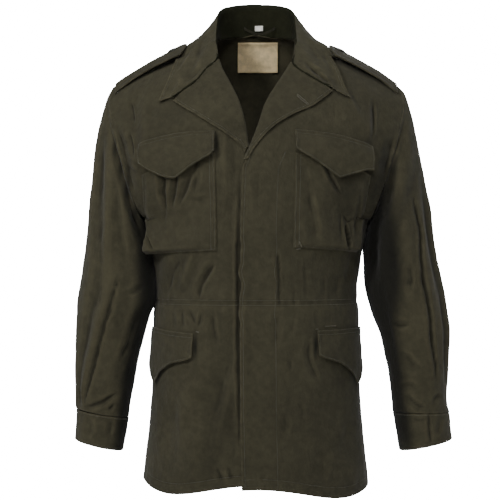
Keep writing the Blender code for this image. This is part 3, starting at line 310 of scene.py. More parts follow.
# ---- creases ----
# Broad folds, as the solids have them: x0, z0, x1, z1, width, depth. A depth over 0 is a valley.
LEFT_FRONT_FOLDS = (
    (150, -95, 178, -165, 16, -3.5),
    (196, -110, 186, -190, 14, 4),
    (118, -420, 92, -350, 20, 2.5),
    (60, -560, 70, -712, 30, 2),
    (145, -600, 158, -712, 26, -3),
)
RIGHT_FRONT_FOLDS = (
    (-196, -100, -188, -190, 13, 4),
    (-176, -110, -178, -200, 14, -3.5),
    (-105, -360, -124, -412, 20, 2.5),
    (-50, -440, -62, -700, 26, 5),
    (-105, -560, -96, -712, 30, -4),
)
BACK_FOLDS = (
    (-60, -180, -95, -330, 26, 2.5),
    (70, -170, 100, -330, 26, 2.5),
    (20, -420, 30, -700, 30, 3),
    (-80, -430, -100, -700, 30, 3.5),
)
# Creases, listed one by one: width, depth, how far it leans (over 0 heaps the cloth on its -X side) and how
# sharp it is (0 a soft trough, 1 a nick), then x and z of each point of its path as seen from the front.
LEFT_FRONT_CREASES = (
    (6, -1, 0, 0, -16, -176, -19, -300, -20, -420, -18, -560, -17, -712),
    (6, 3, 0.3, 0.5, 186, -100, 187, -135, 184, -172),
    (13, 2.6, -0.3, 0.1, 146, -78, 158, -108, 169, -140),
    (11, 5, 0.2, 0.3, 219, -160, 212, -196, 202, -236),
    (4, 0.7, 0.4, 0.4, 124, -102, 123, -160),
    (16, 1.6, 0, 0, 100, -96, 112, -128, 116, -158),
    (4.5, 3, 0.5, 0.6, 32, -336, 36, -388, 37, -440),
    (4, 0.9, 0.3, 0.5, 59, -390, 60, -436),
    (6, 1.2, -0.3, 0.3, 73, -350, 76, -392, 77, -432),
    (5, 0.8, 0.2, 0.3, 107, -376, 108, -430),
    (9, 2, 0.2, 0.2, 132, -372, 129, -400, 124, -424),
    (7, 1.1, 0.3, 0.3, 60, -432, 56, -462, 55, -482),
    (6, 1.1, -0.3, 0.3, 90, -432, 95, -466),
    (9, 1.8, 0.2, 0.2, 36, -432, 30, -470, 30, -500),
    (7, 2.6, 0.3, 0.4, 84, -474, 82, -500, 87, -526, 102, -552),
    (5, 1.2, 0.2, 0.4, 69, -574, 73, -606),
    (5, 1.2, 0, 0.4, 52, -510, 54, -532),
    (9, 1.6, 0.2, 0.1, 44, -588, 43, -640),
    (12, 1.7, 0.2, 0, 110, -676, 128, -684, 148, -696),
    (14, 2.4, 0.2, 0, 96, -640, 104, -676, 102, -706),
    (18, 1.8, 0.3, 0, 20, -200, 24, -270, 20, -330),
    (12, 1.4, -0.2, 0, -4, -180, 4, -240, 2, -320),
    (18, 2.2, -0.2, 0, 150, -600, 140, -650, 146, -700),
    (14, 2.6, 0.2, 0.2, 168, -330, 150, -372, 138, -402),
)
RIGHT_FRONT_CREASES = (
    (6.5, 4.2, -0.3, 0.3, -25, -170, -29, -300, -30, -420, -28, -560, -27, -716),
    (9, 5.5, -0.3, 0.4, -222, -140, -213, -184, -203, -226, -190, -262),
    (5, 2.4, 0.3, 0.6, -201, -104, -196, -124, -194, -142),
    (6, 2.8, 0.4, 0.6, -201, -156, -196, -178, -192, -200),
    (13, 1.8, 0.2, 0, -171, -98, -167, -128, -169, -154),
    (7, 2, 0.2, 0.4, -213, -209, -198, -216, -183, -226),
    (15, 1.6, 0, 0, -112, -96, -122, -124, -120, -150),
    (8, -2.8, 0, 0.1, -98, -344, -108, -372, -124, -412),
    (8, 4.2, 0.4, 0.5, -62, -360, -74, -380, -86, -400, -90, -424),
    (9, 2.6, 0.3, 0.3, -118, -352, -134, -384, -142, -414),
    (4.5, 2, 0.2, 0.5, -106, -432, -100, -446, -93, -460),
    (4.5, 2, -0.2, 0.5, -86, -434, -92, -464),
    (5, 1.8, 0.2, 0.4, -118, -436, -114, -466),
    (7, 2, 0.3, 0.3, -68, -432, -66, -470, -60, -500),
    (6, 1.6, 0, 0.3, -134, -436, -130, -462),
    (20, 4.6, 0.3, 0.1, -36, -486, -52, -540, -72, -610, -80, -690),
    (17, -3.4, 0, 0, -56, -548, -78, -620, -100, -706),
    (15, 2.8, 0.2, 0, -120, -560, -132, -630, -128, -700),
    (12, 2, 0.2, 0, -30, -560, -34, -630, -36, -690),
    (5, 1.6, 0.3, 0.3, -62, -676, -53, -702),
    (5, 1.8, -0.3, 0.3, -46, -674, -41, -702),
    (14, 1.8, 0.2, 0, -36, -250, -42, -300, -38, -350),
    (12, 2.6, -0.2, 0.2, -168, -336, -156, -380, -148, -406),
)
# The back's creases are given as seen from the front too, so that +X stays the wearer's left.
BACK_CREASES = (
    (14, 4.6, 0.3, 0.2, 196, -150, 182, -210, 150, -262),
    (13, 4.4, -0.3, 0.3, -198, -146, -180, -204, -152, -250),
    (16, 2.6, 0.2, 0.1, 150, -90, 176, -130, 188, -176),
    (17, 2.8, -0.2, 0.1, -146, -92, -170, -128, -190, -180),
    (17, 3.2, 0.3, 0.1, 120, -250, 96, -318, 58, -372),
    (15, 3.4, -0.2, 0.2, -104, -262, -92, -330, -48, -384),
    (12, 2.2, 0.2, 0.2, 28, -300, 20, -352, 26, -414),
    (9, 2.4, -0.3, 0.4, -20, -330, -26, -382, -22, -420),
    (7, 2.6, 0.2, 0.5, 64, -372, 70, -424),
    (6, 2.4, 0.2, 0.5, -66, -380, -64, -422),
    (8, 2.8, -0.3, 0.4, 112, -378, 106, -420),
    (8, 2.6, 0.3, 0.4, -108, -370, -112, -420),
    (9, 2.6, 0.2, 0.3, 6, -432, 2, -470, 10, -520),
    (11, 2.8, -0.2, 0.2, 52, -432, 58, -478, 50, -540),
    (12, 3, 0.2, 0.2, -46, -432, -54, -486, -50, -560),
    (8, 2.4, 0.2, 0.3, 98, -432, 110, -490),
    (9, 2.4, -0.2, 0.3, -100, -434, -94, -480, -104, -530),
    (22, 3.2, 0.2, 0, 0, -560, -12, -630, -6, -706),
    (20, 3, 0, 0, 74, -560, 88, -640, 82, -708),
    (20, 3.2, 0.2, 0, 140, -480, 132, -560, 140, -690),
    (20, 3.4, -0.2, 0, -134, -490, -146, -570, -136, -694),
    (22, 1.6, 0, 0, -4, -60, 10, -110, 2, -170),
)
LEFT_POCKET_CREASES = (
    (10, 2.8, 0.3, 0.2, 74, -210, 84, -270, 92, -320, 100, -352),
    (11, -1.2, 0, 0, 88, -236, 98, -290, 108, -346),
    (5.5, 5, 0.3, 0.5, 96, -186, 110, -216, 122, -240, 134, -262),
    (20, 2.6, 0.2, 0, 128, -232, 140, -280, 146, -338),
    (4, 1.6, 0.5, 0.6, 132, -284, 134, -306, 135, -330),
    (4, 1.8, 0.3, 0.6, 137, -288, 146, -299, 155, -290),
    (3.4, 7, 0.2, 0.4, 142, -298, 145, -322, 148, -346),
    (4, -1, 0, 0.2, 151, -300, 154, -322, 154, -342),
    (8, 1.2, 0.2, 0.1, 70, -206, 74, -240),
    (7, 2.2, -0.3, 0.3, 164, -246, 158, -290, 154, -336),
)
RIGHT_POCKET_CREASES = (
    (6.5, 5.6, 0.3, 0.4, -150, -196, -146, -226, -144, -250, -140, -284),
    (5, 3.6, -0.3, 0.5, -140, -200, -141, -226, -149, -262),
    (6, 4.2, 0.3, 0.4, -120, -200, -124, -232, -127, -256, -131, -284),
    (7, 4.6, 0.3, 0.3, -84, -186, -96, -216, -108, -246, -122, -280),
    (6, 3, -0.2, 0.3, -84, -190, -94, -222, -97, -264),
    (7, 1.6, 0.2, 0.1, -110, -262, -90, -268, -70, -262),
    (6, 1.6, 0.3, 0.3, -141, -264, -144, -302),
    (6, 1.6, 0.2, 0.2, -152, -272, -150, -292),
    (5, 3.2, 0.5, 0.6, -174, -318, -168, -334, -162, -347),
    (17, 1.8, 0.2, 0, -112, -276, -104, -310, -110, -344),
    (16, 1.4, 0, 0, -80, -240, -76, -300),
)
LEFT_SLEEVE_CREASES = (
    (13, 7, 0.2, 0.1, 200, -226, 192, -290, 188, -350, 188, -420),
    (5.5, 5.4, 0.2, 0.6, 243, -236, 254, -271, 262, -304, 265, -334, 268, -392, 275, -432, 279, -486,
     284, -528, 287, -570),
    (4, -1, 0, 0.2, 286, -345, 293, -402, 295, -464, 299, -575),
    (9, -3, 0, 0, 230, -100, 240, -136, 243, -179, 240, -222, 231, -266, 222, -320),
    (9, 4, 0.3, 0.3, 224, -140, 222, -176, 210, -204),
    (7, 2.8, 0.4, 0.3, 244, -358, 246, -386, 244, -412),
    (8, 1.5, 0.2, 0.2, 227, -334, 218, -360, 214, -382),
    (9, -4.5, 0, 0, 236, -96, 226, -130, 206, -176, 196, -206),
    (7, 4, 0.2, 0.2, 228, -90, 212, -126, 196, -168),
    (9, -3.6, 0, 0, 238, -170, 228, -230, 214, -300, 208, -352),
    (8, 4, 0.2, 0.2, 226, -190, 214, -240, 204, -300),
    (12, 2.4, 0.3, 0.1, 203, -350, 200, -400, 206, -448, 216, -490, 226, -536),
    (7, 2.6, -0.3, 0.4, 214, -458, 228, -464, 244, -460),
    (9, 2.2, 0.3, 0.2, 228, -500, 246, -522, 262, -530),
    (6, 2.4, 0.3, 0.4, 238, -570, 250, -584, 268, -592),
    (7, 1.8, 0.2, 0.3, 226, -566, 240, -556, 254, -562),
    (5, 1.8, 0.2, 0.3, 278, -590, 286, -574, 298, -582),
)
RIGHT_SLEEVE_CREASES = (
    (7.5, 7.5, 0.3, 0.3, -232, -140, -224, -168, -213, -212, -203, -250, -193, -286, -184, -330, -188,
     -356),
    (10, 3.4, 0.2, 0.1, -244, -116, -248, -208, -247, -322, -248, -440),
    (9, -2.6, 0, 0, -232, -130, -236, -240, -236, -400),
    (9, 1.6, -0.2, 0, -266, -150, -270, -260, -275, -400),
    (7.5, 5.4, 0.4, 0.7, -214, -372, -231, -436, -244, -480, -257, -530, -275, -598),
    (5.5, 3.4, 0.3, 0.5, -276, -590, -256, -586, -236, -578, -214, -566),
    (10, 2.2, 0.3, 0.1, -222, -240, -214, -320, -204, -380),
    (7, 2.6, 0.4, 0.4, -191, -430, -196, -464, -203, -494, -217, -526),
    (8, 1.4, 0.3, 0.3, -190, -478, -204, -508, -222, -548),
    (6, 2, 0.3, 0.3, -182, -394, -194, -410, -208, -414),
    (5, 2.8, 0, 0.6, -234, -596, -228, -590, -222, -586),
    (6, 2, 0.3, 0.3, -284, -560, -276, -596),
    (8, 1.2, -0.2, 0.2, -262, -440, -268, -480, -280, -520),
)
# Behind, both sleeves break at the elbow: x here is the distance from the body's axis.
SLEEVE_BACK_CREASES = (
    (9, 3.6, 0.3, 0.3, 196, -420, 220, -436, 252, -430, 280, -414),
    (8, 3.2, 0.3, 0.4, 200, -462, 228, -470, 262, -456),
    (9, 2.8, -0.2, 0.3, 204, -500, 232, -512, 268, -500),
    (9, 2.4, 0.2, 0.2, 216, -380, 240, -392, 266, -384),
    (13, 3, 0.3, 0.1, 214, -160, 226, -230, 222, -310),
    (12, 2.4, -0.3, 0.1, 244, -140, 258, -220, 268, -320),
    (7, 2, 0.2, 0.3, 238, -540, 246, -570, 240, -598),
    (7, 2, -0.2, 0.3, 266, -530, 272, -566, 270, -598),
)
# Painted shade, rounded patches of darker colour in hollows, beside flaps and slits: x, z, half width, half
# height, strength.
LEFT_FRONT_PAINTED_SHADE = (
    (201, -216, 12, 50, 0.6),
    (184, -250, 10, 30, 0.45),
    (95, -640, 90, 90, 0.08),
    (170, -130, 22, 40, 0.12),
    (92, -491, 3.2, 20, 1),
)
RIGHT_FRONT_PAINTED_SHADE = (
    (-203, -246, 5, 32, 0.9),
    (-95, -492, 3.4, 21, 1),
    (-62, -178, 3.2, 18, 0.9),
    (-141, -134, 42, 26, 0.2),
    (-36, -510, 16, 42, 0.16),
    (-53, -592, 18, 50, 0.26),
    (-72, -664, 22, 44, 0.2),
    (-130, -400, 40, 30, 0.1),
)
POCKET_PAINTED_SHADE = ((146, -324, 2.8, 15, 0.9), (146, -262, 20, 60, 0.3), (138, -248, 18, 30, 0.2),
                  (70, -236, 12, 40, 0.1))
SLEEVE_PAINTED_SHADE_PATCHES = {
    1: ((217, -216, 9, 20, 0.6), (194, -225, 15, 45, 0.8)),
    -1: ((-225, -184, 4, 15, 0.8), (-215, -214, 4.5, 16, 0.8), (-205, -247, 5.5, 17, 0.95),
         (-192, -284, 7, 20, 0.85), (-186, -322, 12, 26, 0.7)),
}
CUFF_CREASES = (
    (4, 2.6, 0.4, 0.5, 272, -598, 274, -624, 277, -652),
    (4, 1.2, 0.2, 0.3, 244, -606, 258, -612, 270, -608),
    (5, 1.4, 0.3, 0.2, 298, -604, 292, -616, 286, -640),
    (7, 1.6, 0.2, 0.1, -270, -606, -262, -622, -266, -642),
    (6, 1.6, 0.3, 0.2, -234, -606, -228, -620, -232, -640),
)
LEFT_COLLAR_CREASES = (
    (5, 3.2, 0.3, 0.4, 84, -52, 100, -66, 120, -80),
    (5.5, 2.6, 0.2, 0.4, 76, -42, 90, -56, 106, -64),
    (9, 2.4, 0.2, 0.1, 78, 2, 94, -22, 104, -50),
    (7, 2, -0.2, 0.1, 90, 0, 106, -26, 116, -52),
    (7, 1.8, 0.2, 0.1, 110, -40, 124, -66, 132, -92),
)
RIGHT_COLLAR_CREASES = (
    (9, 2.4, 0.2, 0.1, -90, -30, -104, -56, -112, -82),
    (7, 2.2, -0.3, 0.2, -80, 6, -92, -18, -96, -44),
    (6, 1.8, 0.3, 0.2, -100, -14, -116, -36, -126, -62),
    (5, 2, 0.3, 0.3, -86, -50, -96, -66, -118, -84),
    (6, 1.6, 0.2, 0.2, -124, -70, -132, -86, -140, -98),
)
# Painted shade on the sleeve's side that the body shades: where it begins as a share of the way round to
# the body, how wide the change is, and the heights between which it lies.
PAINTED_SHADE_NARROWS = {1: 0.5, -1: 0.16}  # how much narrower that side gets down the forearm
SLEEVE_PAINTED_SHADE = {1: (-0.16, 0.42, -730, -120), -1: (0.36, 0.3, -730, -120)}
# How far the same side leans out to the body, and between which heights.
SLEEVE_LEAN_IN = {1: (7, -400, -230), -1: (8, -520, -250)}
WAIST_ROWS = (-421, -428.6)  # the two rows of stitches on the waist casing
CREASE_STRENGTH = 1.25
CREASE_BEND = 0.9  # how far noise bends a crease off its path
UNDULATION = ((58, 1.4), (26, 0.9), (11, 0.4))  # cell and height of the cloth's soft unevenness
# Layers of unevenness: height, cell size, or its size each way, and seed.
LAPEL_RIPPLES = ((0.9, (19, 19, 26), 80), (0.4, (8, 8, 9), 84))
COLLAR_FALL_RIPPLE = (1.3, 24, 90)
COLLAR_RIPPLE = (0.5, 10, 91)
SLEEVE_RIPPLE = (0.7, (8, 8, 22), 60)
CUFF_RIPPLE = (0.55, (17, 17, 12), 70)
CUFF_SEAM_RIPPLE = (0.5, (7, 7, 30), 72)
POCKET_RIPPLES = ((0.8, (30, 30, 42), 100), (0.4, (11, 11, 16), 102))
POCKET_EDGE_RIPPLE = (0.5, 7, 104)
FLAP_RIPPLES = ((0.9, (26, 26, 20), 0), (0.35, 10, 1))
STRAP_RIPPLE = (0.7, 22, 110)
LABEL_RIPPLE = (0.4, 12, 120)
WAIST_GATHER = (0.9, (6.5, 6.5, 26), 40)
HEM_RIPPLE = (0.7, (9, 9, 24), 50)
WAIST_REACH = (13.0, 20.0)  # how far the gathers reach above and below the casing
WAIST_DEPTH, WAIST_WIDTH = 1.4, 5.0  # how far the casing's rows pull the cloth in
HEM_GROOVE, HEM_WIDTH = 0.6, 2.4  # how deep the hem's stitches lie, and how wide their groove is
HEM_REACH = 9.0  # how far the hem's ripples reach from its stitches
FLY_CALM = (34.0, 30.0)  # the right front has no creases this far past the centre line; they fade over this
POCKET_EDGE_REACH = 9.0  # how far the ripples of a pocket's edges reach in
POCKET_ROOM = 1.7  # how near the front a pocket's creases may come
FLAP_CURL = 0.9  # how far a flap's lower edge curls up
FOLD_SMOOTHING = 22  # how often a grid is averaged, to tell its ridges from its grooves
SLEEVE_UNEVEN = 1.15  # a sleeve's unevenness, as a share of the body's
ARMHOLE_GROOVE = (1.2, 2.0, 5.0)  # depth of the groove at the armhole, its middle and its width
SLEEVE_SEAM_REACH = (12.0, 15.0)  # how far the sleeve's ripples reach from the armhole and the cuff
CUFF_PRESSED = (0.7, 0.07)  # how far a cuff's edges are pressed in, and the share of it that is
SEEN_AHEAD = 0.2  # a place whose normal looks forward by more than this is seen from the front
HEM_DEPTH = 17.0  # from the hem to its row of stitches


# ---- numbers ----
def smooth_rows(rows, at, beyond=None):
    """Columns of a table at fractional row numbers: a Catmull-Rom curve through its rows.

    beyond is the row that the curve makes for after the last one.
    """
    table = np.asarray(rows, float)
    last = len(table) - 1
    at = np.clip(np.asarray(at, float), 0, last)
    low = np.clip(np.floor(at).astype(int), 0, last - 1)
    share = (at - low).reshape(at.shape + (1,) * (table.ndim - 1))
    before = table[np.maximum(low - 1, 0)]
    table = np.concatenate([table, table[-1:] if beyond is None else np.asarray(beyond)[None]])
    after = table[low + 2]
    start, end = table[low], table[low + 1]
    return 0.5 * (2 * start + (end - before) * share
                  + (2 * before - 5 * start + 4 * end - after) * share ** 2
                  + (3 * start - before - 3 * end + after) * share ** 3)


def finer(grid, rows, columns):
    """A coarse grid read at fractional rows and columns: a Catmull-Rom curve one way, then the other."""
    down = smooth_rows(grid, rows)
    return np.swapaxes(smooth_rows(np.swapaxes(down, 0, 1), columns), 0, 1)


def edge_x(edge, z):
    """x of a front's free edge at each height, along straight lines between the table's points."""
    heights, across = np.array(edge, float).T
    return np.interp(z, heights, across)


def eased(value):
    """0 to 1 with soft ends: 3 v squared less 2 v cubed."""
    value = np.clip(value, 0, 1)
    return value * value * (3 - 2 * value)


def bell(distance, width):
    """1 at no distance, falling away on both sides: e to the power of less the square of distance over
    width."""
    return np.exp(-(distance / width) ** 2)


def unit(vectors):
    """Vectors over their lengths."""
    return vectors / np.maximum(np.linalg.norm(vectors, axis=-1, keepdims=True), 1e-9)


def level_way(start, end):
    """Unit vectors from start to end with their height left out."""
    return unit((end - start) * np.array([1, 1, 0]))


def towards_front(out):
    """How far outward vectors look to the front, 0 to 1."""
    return eased(0.5 - out[..., 1] * 1.6)


def normals(grid, ring=False):
    """Cross product of the grid's steps down and across, each taken between the two neighbours."""
    down = np.gradient(grid, axis=0)
    if ring:
        across = np.roll(grid, -1, 1) - np.roll(grid, 1, 1)
    else:
        across = np.gradient(grid, axis=1)
    return unit(np.cross(down, across))


def value_noise(points, cells, seed):
    """Random heights on a lattice with steps of cells, eased between its eight nearest: from -1 to 1."""
    corners = np.random.default_rng(seed).uniform(-1, 1, (32, 32, 32))
    place = points / np.asarray(cells, float) + 640.0
    low = np.floor(place).astype(int)
    share = eased(place - low)
    total = np.zeros(points.shape[:-1])
    for corner in range(8):
        step = np.array([corner & 1, corner >> 1 & 1, corner >> 2 & 1])
        weight = np.where(step, share, 1 - share).prod(-1)
        x, y, z = np.moveaxis((low + step) % 32, -1, 0)
        total += corners[x, y, z] * weight
    return total


def painted_shade_patches(points, table):
    """Painted shade: how far each point's colour is darkened, a sum of rounded patches."""
    x, z = points[..., 0], points[..., 2]
    return sum(strength * np.exp(-((x - at_x) / wide) ** 2 - ((z - at_z) / high) ** 2)
               for at_x, at_z, wide, high, strength in table)


def ripples(points, layer, more=0):
    """Noise of a named layer: its height, cells and seed, with more added to the seed."""
    height, cells, seed = layer
    return height * value_noise(points, cells, seed + more)


def undulation(points, seed, height=1.0):
    """Sum of noises at the cells of UNDULATION, each stretched downwards, as hung cloth is."""
    return height * sum(rise * value_noise(points, (cell, cell, cell * 1.5), seed + step)
                        for step, (cell, rise) in enumerate(UNDULATION))


def line_distance(across, up, fold):
    """Distance to a fold's line, and a share that fades from 1 on it to 0 past its ends."""
    x0, z0, x1, z1 = fold[:4]
    length = math.hypot(x1 - x0, z1 - z0)
    along_line = ((across - x0) * (x1 - x0) + (up - z0) * (z1 - z0)) / length
    off = ((across - x0) * (z1 - z0) - (up - z0) * (x1 - x0)) / length
    fade = eased(0.5 + np.minimum(along_line, length - along_line) / (0.35 * length))
    return off, fade


def fold_depth(across, up, folds):
    """Sum of the broad folds: depth times a bell curve of the distance to each fold's line."""
    depth = np.zeros(np.broadcast(across, up).shape)
    for fold in folds:
        off, fade = line_distance(across, up, fold)
        depth += fold[5] * fade * bell(off, fold[4])
    return depth


def path_distance(across, up, path):
    """Signed distance to the nearest piece of a path, and how far along the path that is, 0 to 1."""
    best = np.full(across.shape, np.inf)
    off, along_path = np.zeros(across.shape), np.zeros(across.shape)
    lengths = np.linalg.norm(np.diff(path, axis=0), axis=1)
    starts = np.concatenate([[0], np.cumsum(lengths)])
    for (x0, z0), (x1, z1), length, before in zip(path[:-1], path[1:], lengths, starts):
        share = ((across - x0) * (x1 - x0) + (up - z0) * (z1 - z0)) / length ** 2
        kept = np.clip(share, 0, 1)
        away = (across - x0 - kept * (x1 - x0)) ** 2 + (up - z0 - kept * (z1 - z0)) ** 2
        side = np.sign((across - x0) * (z1 - z0) - (up - z0) * (x1 - x0))
        nearer = away < best
        best = np.where(nearer, away, best)
        off = np.where(nearer, side * np.sqrt(away), off)
        along_path = np.where(nearer, (before + kept * length) / starts[-1], along_path)
    return off, along_path


def crease_depth(across, up, creases):
    """Sum of the creases: each a bell curve of the distance to its path, sharpened to a nick, steeper on
    the side it leans to, with low shoulders on both sides, fading at the path's ends. Noise bends the
    paths and makes each crease deeper here and shallower there."""
    across, up = np.broadcast_arrays(np.asarray(across, float), np.asarray(up, float))
    depth = np.zeros(across.shape)
    place = np.stack([across, up, 0 * up], -1)
    across = across + CREASE_BEND * value_noise(place, 17, 21)
    up = up + CREASE_BEND * value_noise(place, (15, 19, 15), 22)
    uneven = 1 + 0.3 * value_noise(place, 21, 23)
    for width, deep, lean, sharp, *path in creases:
        points = np.reshape(np.array(path, float), (-1, 2))
        width = width * (0.95 - 0.55 * sharp)
        path = smooth_rows(points, np.linspace(0, len(points) - 1, 4 * len(points)))
        low, high = path.min(0) - 4 * width, path.max(0) + 4 * width
        near = (across > low[0]) & (across < high[0]) & (up > low[1]) & (up < high[1])
        if not near.any():
            continue
        off, place = path_distance(across[near], up[near], path)
        fade = eased(np.minimum(place, 1 - place) / (0.45 - 0.3 * sharp) + 0.02)
        steep = 1 + np.clip(1.6 * lean, -0.55, 0.55) * np.sign(off)
        u = off / (width * (0.55 + 0.45 * fade) * steep)
        trough, nick = np.exp(-u * u), np.exp(-1.9 * np.abs(u))
        shoulder = bell(np.abs(u) - 1.8, 0.8)
        beyond = eased(1.6 - np.abs(off) / (2.4 * width))
        depth[near] += deep * fade * beyond * ((1 - sharp) * trough + sharp * nick - 0.25 * shoulder)
    return CREASE_STRENGTH * depth * uneven


def along(outline, shares):
    """Points at shares of an outline's length."""
    outline = np.array(outline, float)
    steps = np.linalg.norm(np.diff(outline, axis=0), axis=1)
    places = np.concatenate([[0], np.cumsum(steps)]) / steps.sum()
    return np.stack([np.interp(shares, places, outline[:, k]) for k in range(outline.shape[1])], -1)


def even_places(points, count):
    """count fractional places along points, evenly spaced by the length of the line through them."""
    lengths = np.concatenate([[0], np.cumsum(np.linalg.norm(np.diff(points, axis=0), axis=1))])
    return np.interp(np.linspace(0, lengths[-1], count), lengths, np.arange(len(points)))


# ---- the body's surface ----
class BodyHalf:
    """Outer surface of one front or of one half of the back, from a table of rows.

    Each row is a cubic Bezier curve from the centre line to the side edge; between the rows every value
    of the table follows a Catmull-Rom curve. The relief is then laid along the surface's normal.
    """

    def __init__(self, rows, side, folds, creases, under=False):
        self.rows, self.side, self.under = rows, side, under
        self.folds, self.creases = folds, creases
        self.facing = -1 if rows is FRONT_ROWS else 1
        over = dict(zip(ROW_COLUMNS, (BACK_ROWS if rows is FRONT_ROWS else FRONT_ROWS)[-2]))
        over["turn"] = -over["turn"]
        self.beyond = np.array(list(over.values()), float)

    def plain_point(self, t, v):
        """The surface without relief: t along the row from the centre line, v up the rows."""
        t, v = np.broadcast_arrays(np.asarray(t, float), np.asarray(v, float))
        (side_x, side_y, side_z, turn, dip, side_pull,
         centre_y, centre_z, centre_pull, rise) = np.moveaxis(smooth_rows(self.rows, v, self.beyond), -1, 0)
        turn, dip, rise = np.radians(turn), np.radians(dip), np.radians(rise)
        flat = np.cos(dip)
        back = -self.facing
        near = np.stack([centre_pull * np.cos(rise), centre_y, centre_z - centre_pull * np.sin(rise)], -1)
        far = np.stack([side_x - side_pull * flat * np.cos(turn),
                        side_y - side_pull * flat * np.sin(turn) * back,
                        side_z + side_pull * np.sin(dip)], -1)
        centre = np.stack([0 * centre_y, centre_y, centre_z], -1)
        end = np.stack([side_x, side_y, side_z], -1)
        s = np.abs(t)[..., None]
        r = 1 - s
        point = centre * r ** 3 + 3 * near * s * r ** 2 + 3 * far * s ** 2 * r + end * s ** 3
        hem = eased(1 - v / 3.0)
        out = np.clip(np.abs(t), 0, 1)
        lower = HEM_LOWER[self.side] * (1 if self.facing < 0 else eased(out))
        point[..., 2] -= hem * (lower + HEM_SAG * np.sin(np.pi * out) ** 2 + HEM_DROP[self.side] * out ** 4)
        point[..., 0] *= np.where(t < 0, -self.side, self.side)
        return point

    def plain_normal(self, t, v):
        """Cross product of small steps along the row and up the rows, turned outwards."""
        step = 0.004
        t = np.clip(np.asarray(t, float), -1, 1 - 2 * step)
        v = np.clip(np.asarray(v, float), 2 * step, len(self.rows) - 1 - 2 * step)
        across = self.plain_point(t + step, v) - self.plain_point(t - step, v)
        up = self.plain_point(t, v + step) - self.plain_point(t, v - step)
        return unit(np.cross(across, up)) * self.side * -self.facing

    def relief(self, point, t, v):
        """Depth of folds, creases, waist gathers and unevenness; the sewn edges keep their line."""
        x, z = point[..., 0], point[..., 2]
        inside = eased((1 - np.abs(t)) / 0.1) * eased((len(self.rows) - 1 - v) / 1.5)
        near_seam = eased((1 - np.abs(t)) / 0.03) * eased((len(self.rows) - 1 - v) / 0.4)
        depth = fold_depth(x, z, self.folds) * inside + crease_depth(x, z, self.creases) * near_seam
        depth += undulation(point, 3 + self.side) * near_seam
        waist = sum(WAIST_ROWS) / 2
        reach = np.where(z > waist, *WAIST_REACH)
        depth += ripples(point, WAIST_GATHER, self.side) * bell(z - waist, reach) * near_seam
        depth += WAIST_DEPTH * bell(z - waist, WAIST_WIDTH) * near_seam
        above = point[..., 2] - self.plain_point(t, 0 * v)[..., 2] - HEM_DEPTH
        ripple = ripples(point, HEM_RIPPLE, self.side)
        depth += near_seam * ripple * bell(above, HEM_REACH)
        depth += HEM_GROOVE * near_seam * bell(above, HEM_WIDTH)
        return depth

    def fly_step(self, point):
        """How far the right front lies under the left one: its full depth near the centre line."""
        if not self.under:
            return 0.0
        wide, narrow = FLY_BLEND
        share = eased((wide - self.side * point[..., 0]) / (wide - narrow))
        return edge_x(FLY_HEIGHTS, point[..., 2]) * share

    def point(self, t, v):
        """The plain surface moved in along its normal by the relief and the fly's step."""
        t, v = np.broadcast_arrays(np.asarray(t, float), np.asarray(v, float))
        point = self.plain_point(t, v)
        depth = self.relief(point, t, v)
        # Close to the fly the two fronts move together, so that neither cuts into the other.
        overlap = eased((self.side * point[..., 0] + FLY_CALM[0]) / FLY_CALM[1]) if self.under else 1.0
        depth = depth * overlap + self.fly_step(point)
        return point - self.plain_normal(t, v) * depth[..., None]

    def v_at(self, t, z):
        """Row number at which the column t reaches the height z, by halving."""
        t, z = np.broadcast_arrays(np.asarray(t, float), np.asarray(z, float))
        low, high = np.zeros(t.shape), np.full(t.shape, len(self.rows) - 1.0)
        for _ in range(22):
            middle = (low + high) / 2
            under = self.plain_point(t, middle)[..., 2] < z
            low, high = np.where(under, middle, low), np.where(under, high, middle)
        return (low + high) / 2

    def t_at(self, x, z):
        """Place along the row, at the height z, where the surface is x from the centre line."""
        x, z = np.broadcast_arrays(np.asarray(x, float), np.asarray(z, float))
        low, high = np.full(x.shape, -0.4), np.ones(x.shape)
        for _ in range(18):
            middle = (low + high) / 2
            under = self.plain_point(middle, self.v_at(middle, z))[..., 0] * self.side < x
            low, high = np.where(under, middle, low), np.where(under, high, middle)
        return (low + high) / 2

    def start(self, v, edge):
        """t at which the row v meets a front's free edge, given as x towards this front's own side."""
        low, high = np.full(np.shape(v), -0.35), np.ones(np.shape(v))
        for _ in range(24):
            middle = (low + high) / 2
            at = self.plain_point(middle, v)
            inside = at[..., 0] * self.side < edge_x(edge, at[..., 2])
            low, high = np.where(inside, middle, low), np.where(inside, high, middle)
        return (low + high) / 2

    def lifted(self, t, v, lift):
        """Points off the surface at t along and v up, moved out along the normal by lift."""
        return self.point(t, v) + self.plain_normal(t, v) * np.asarray(lift, float)[..., None]


FRONT_LEFT = BodyHalf(FRONT_ROWS, 1, LEFT_FRONT_FOLDS, LEFT_FRONT_CREASES)
FRONT_RIGHT = BodyHalf(FRONT_ROWS, -1, RIGHT_FRONT_FOLDS, RIGHT_FRONT_CREASES, under=True)
BACK_LEFT = BodyHalf(BACK_ROWS, 1, BACK_FOLDS, BACK_CREASES)
BACK_RIGHT = BodyHalf(BACK_ROWS, -1, BACK_FOLDS, BACK_CREASES)
TOP = len(FRONT_ROWS) - 1.0


# ---- meshes ----
SURFACES = {}  # each finished cloth piece's grid of points and its outward normals, for the stitches


def mesh_object(name, points, faces, material):
    """A mesh from points in millimetres and faces, at the origin, unturned and unscaled."""
    mesh = bpy.data.meshes.new(name)
    faces = faces.tolist() if isinstance(faces, np.ndarray) else faces
    mesh.from_pydata((np.asarray(points, float) * MM).tolist(), [], faces)
    mesh.validate()
    mesh.shade_smooth()
    made = bpy.data.objects.new(name, mesh)
    made.data.materials.append(material)
    bpy.context.scene.collection.objects.link(made)
    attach(made, "root")
    return made


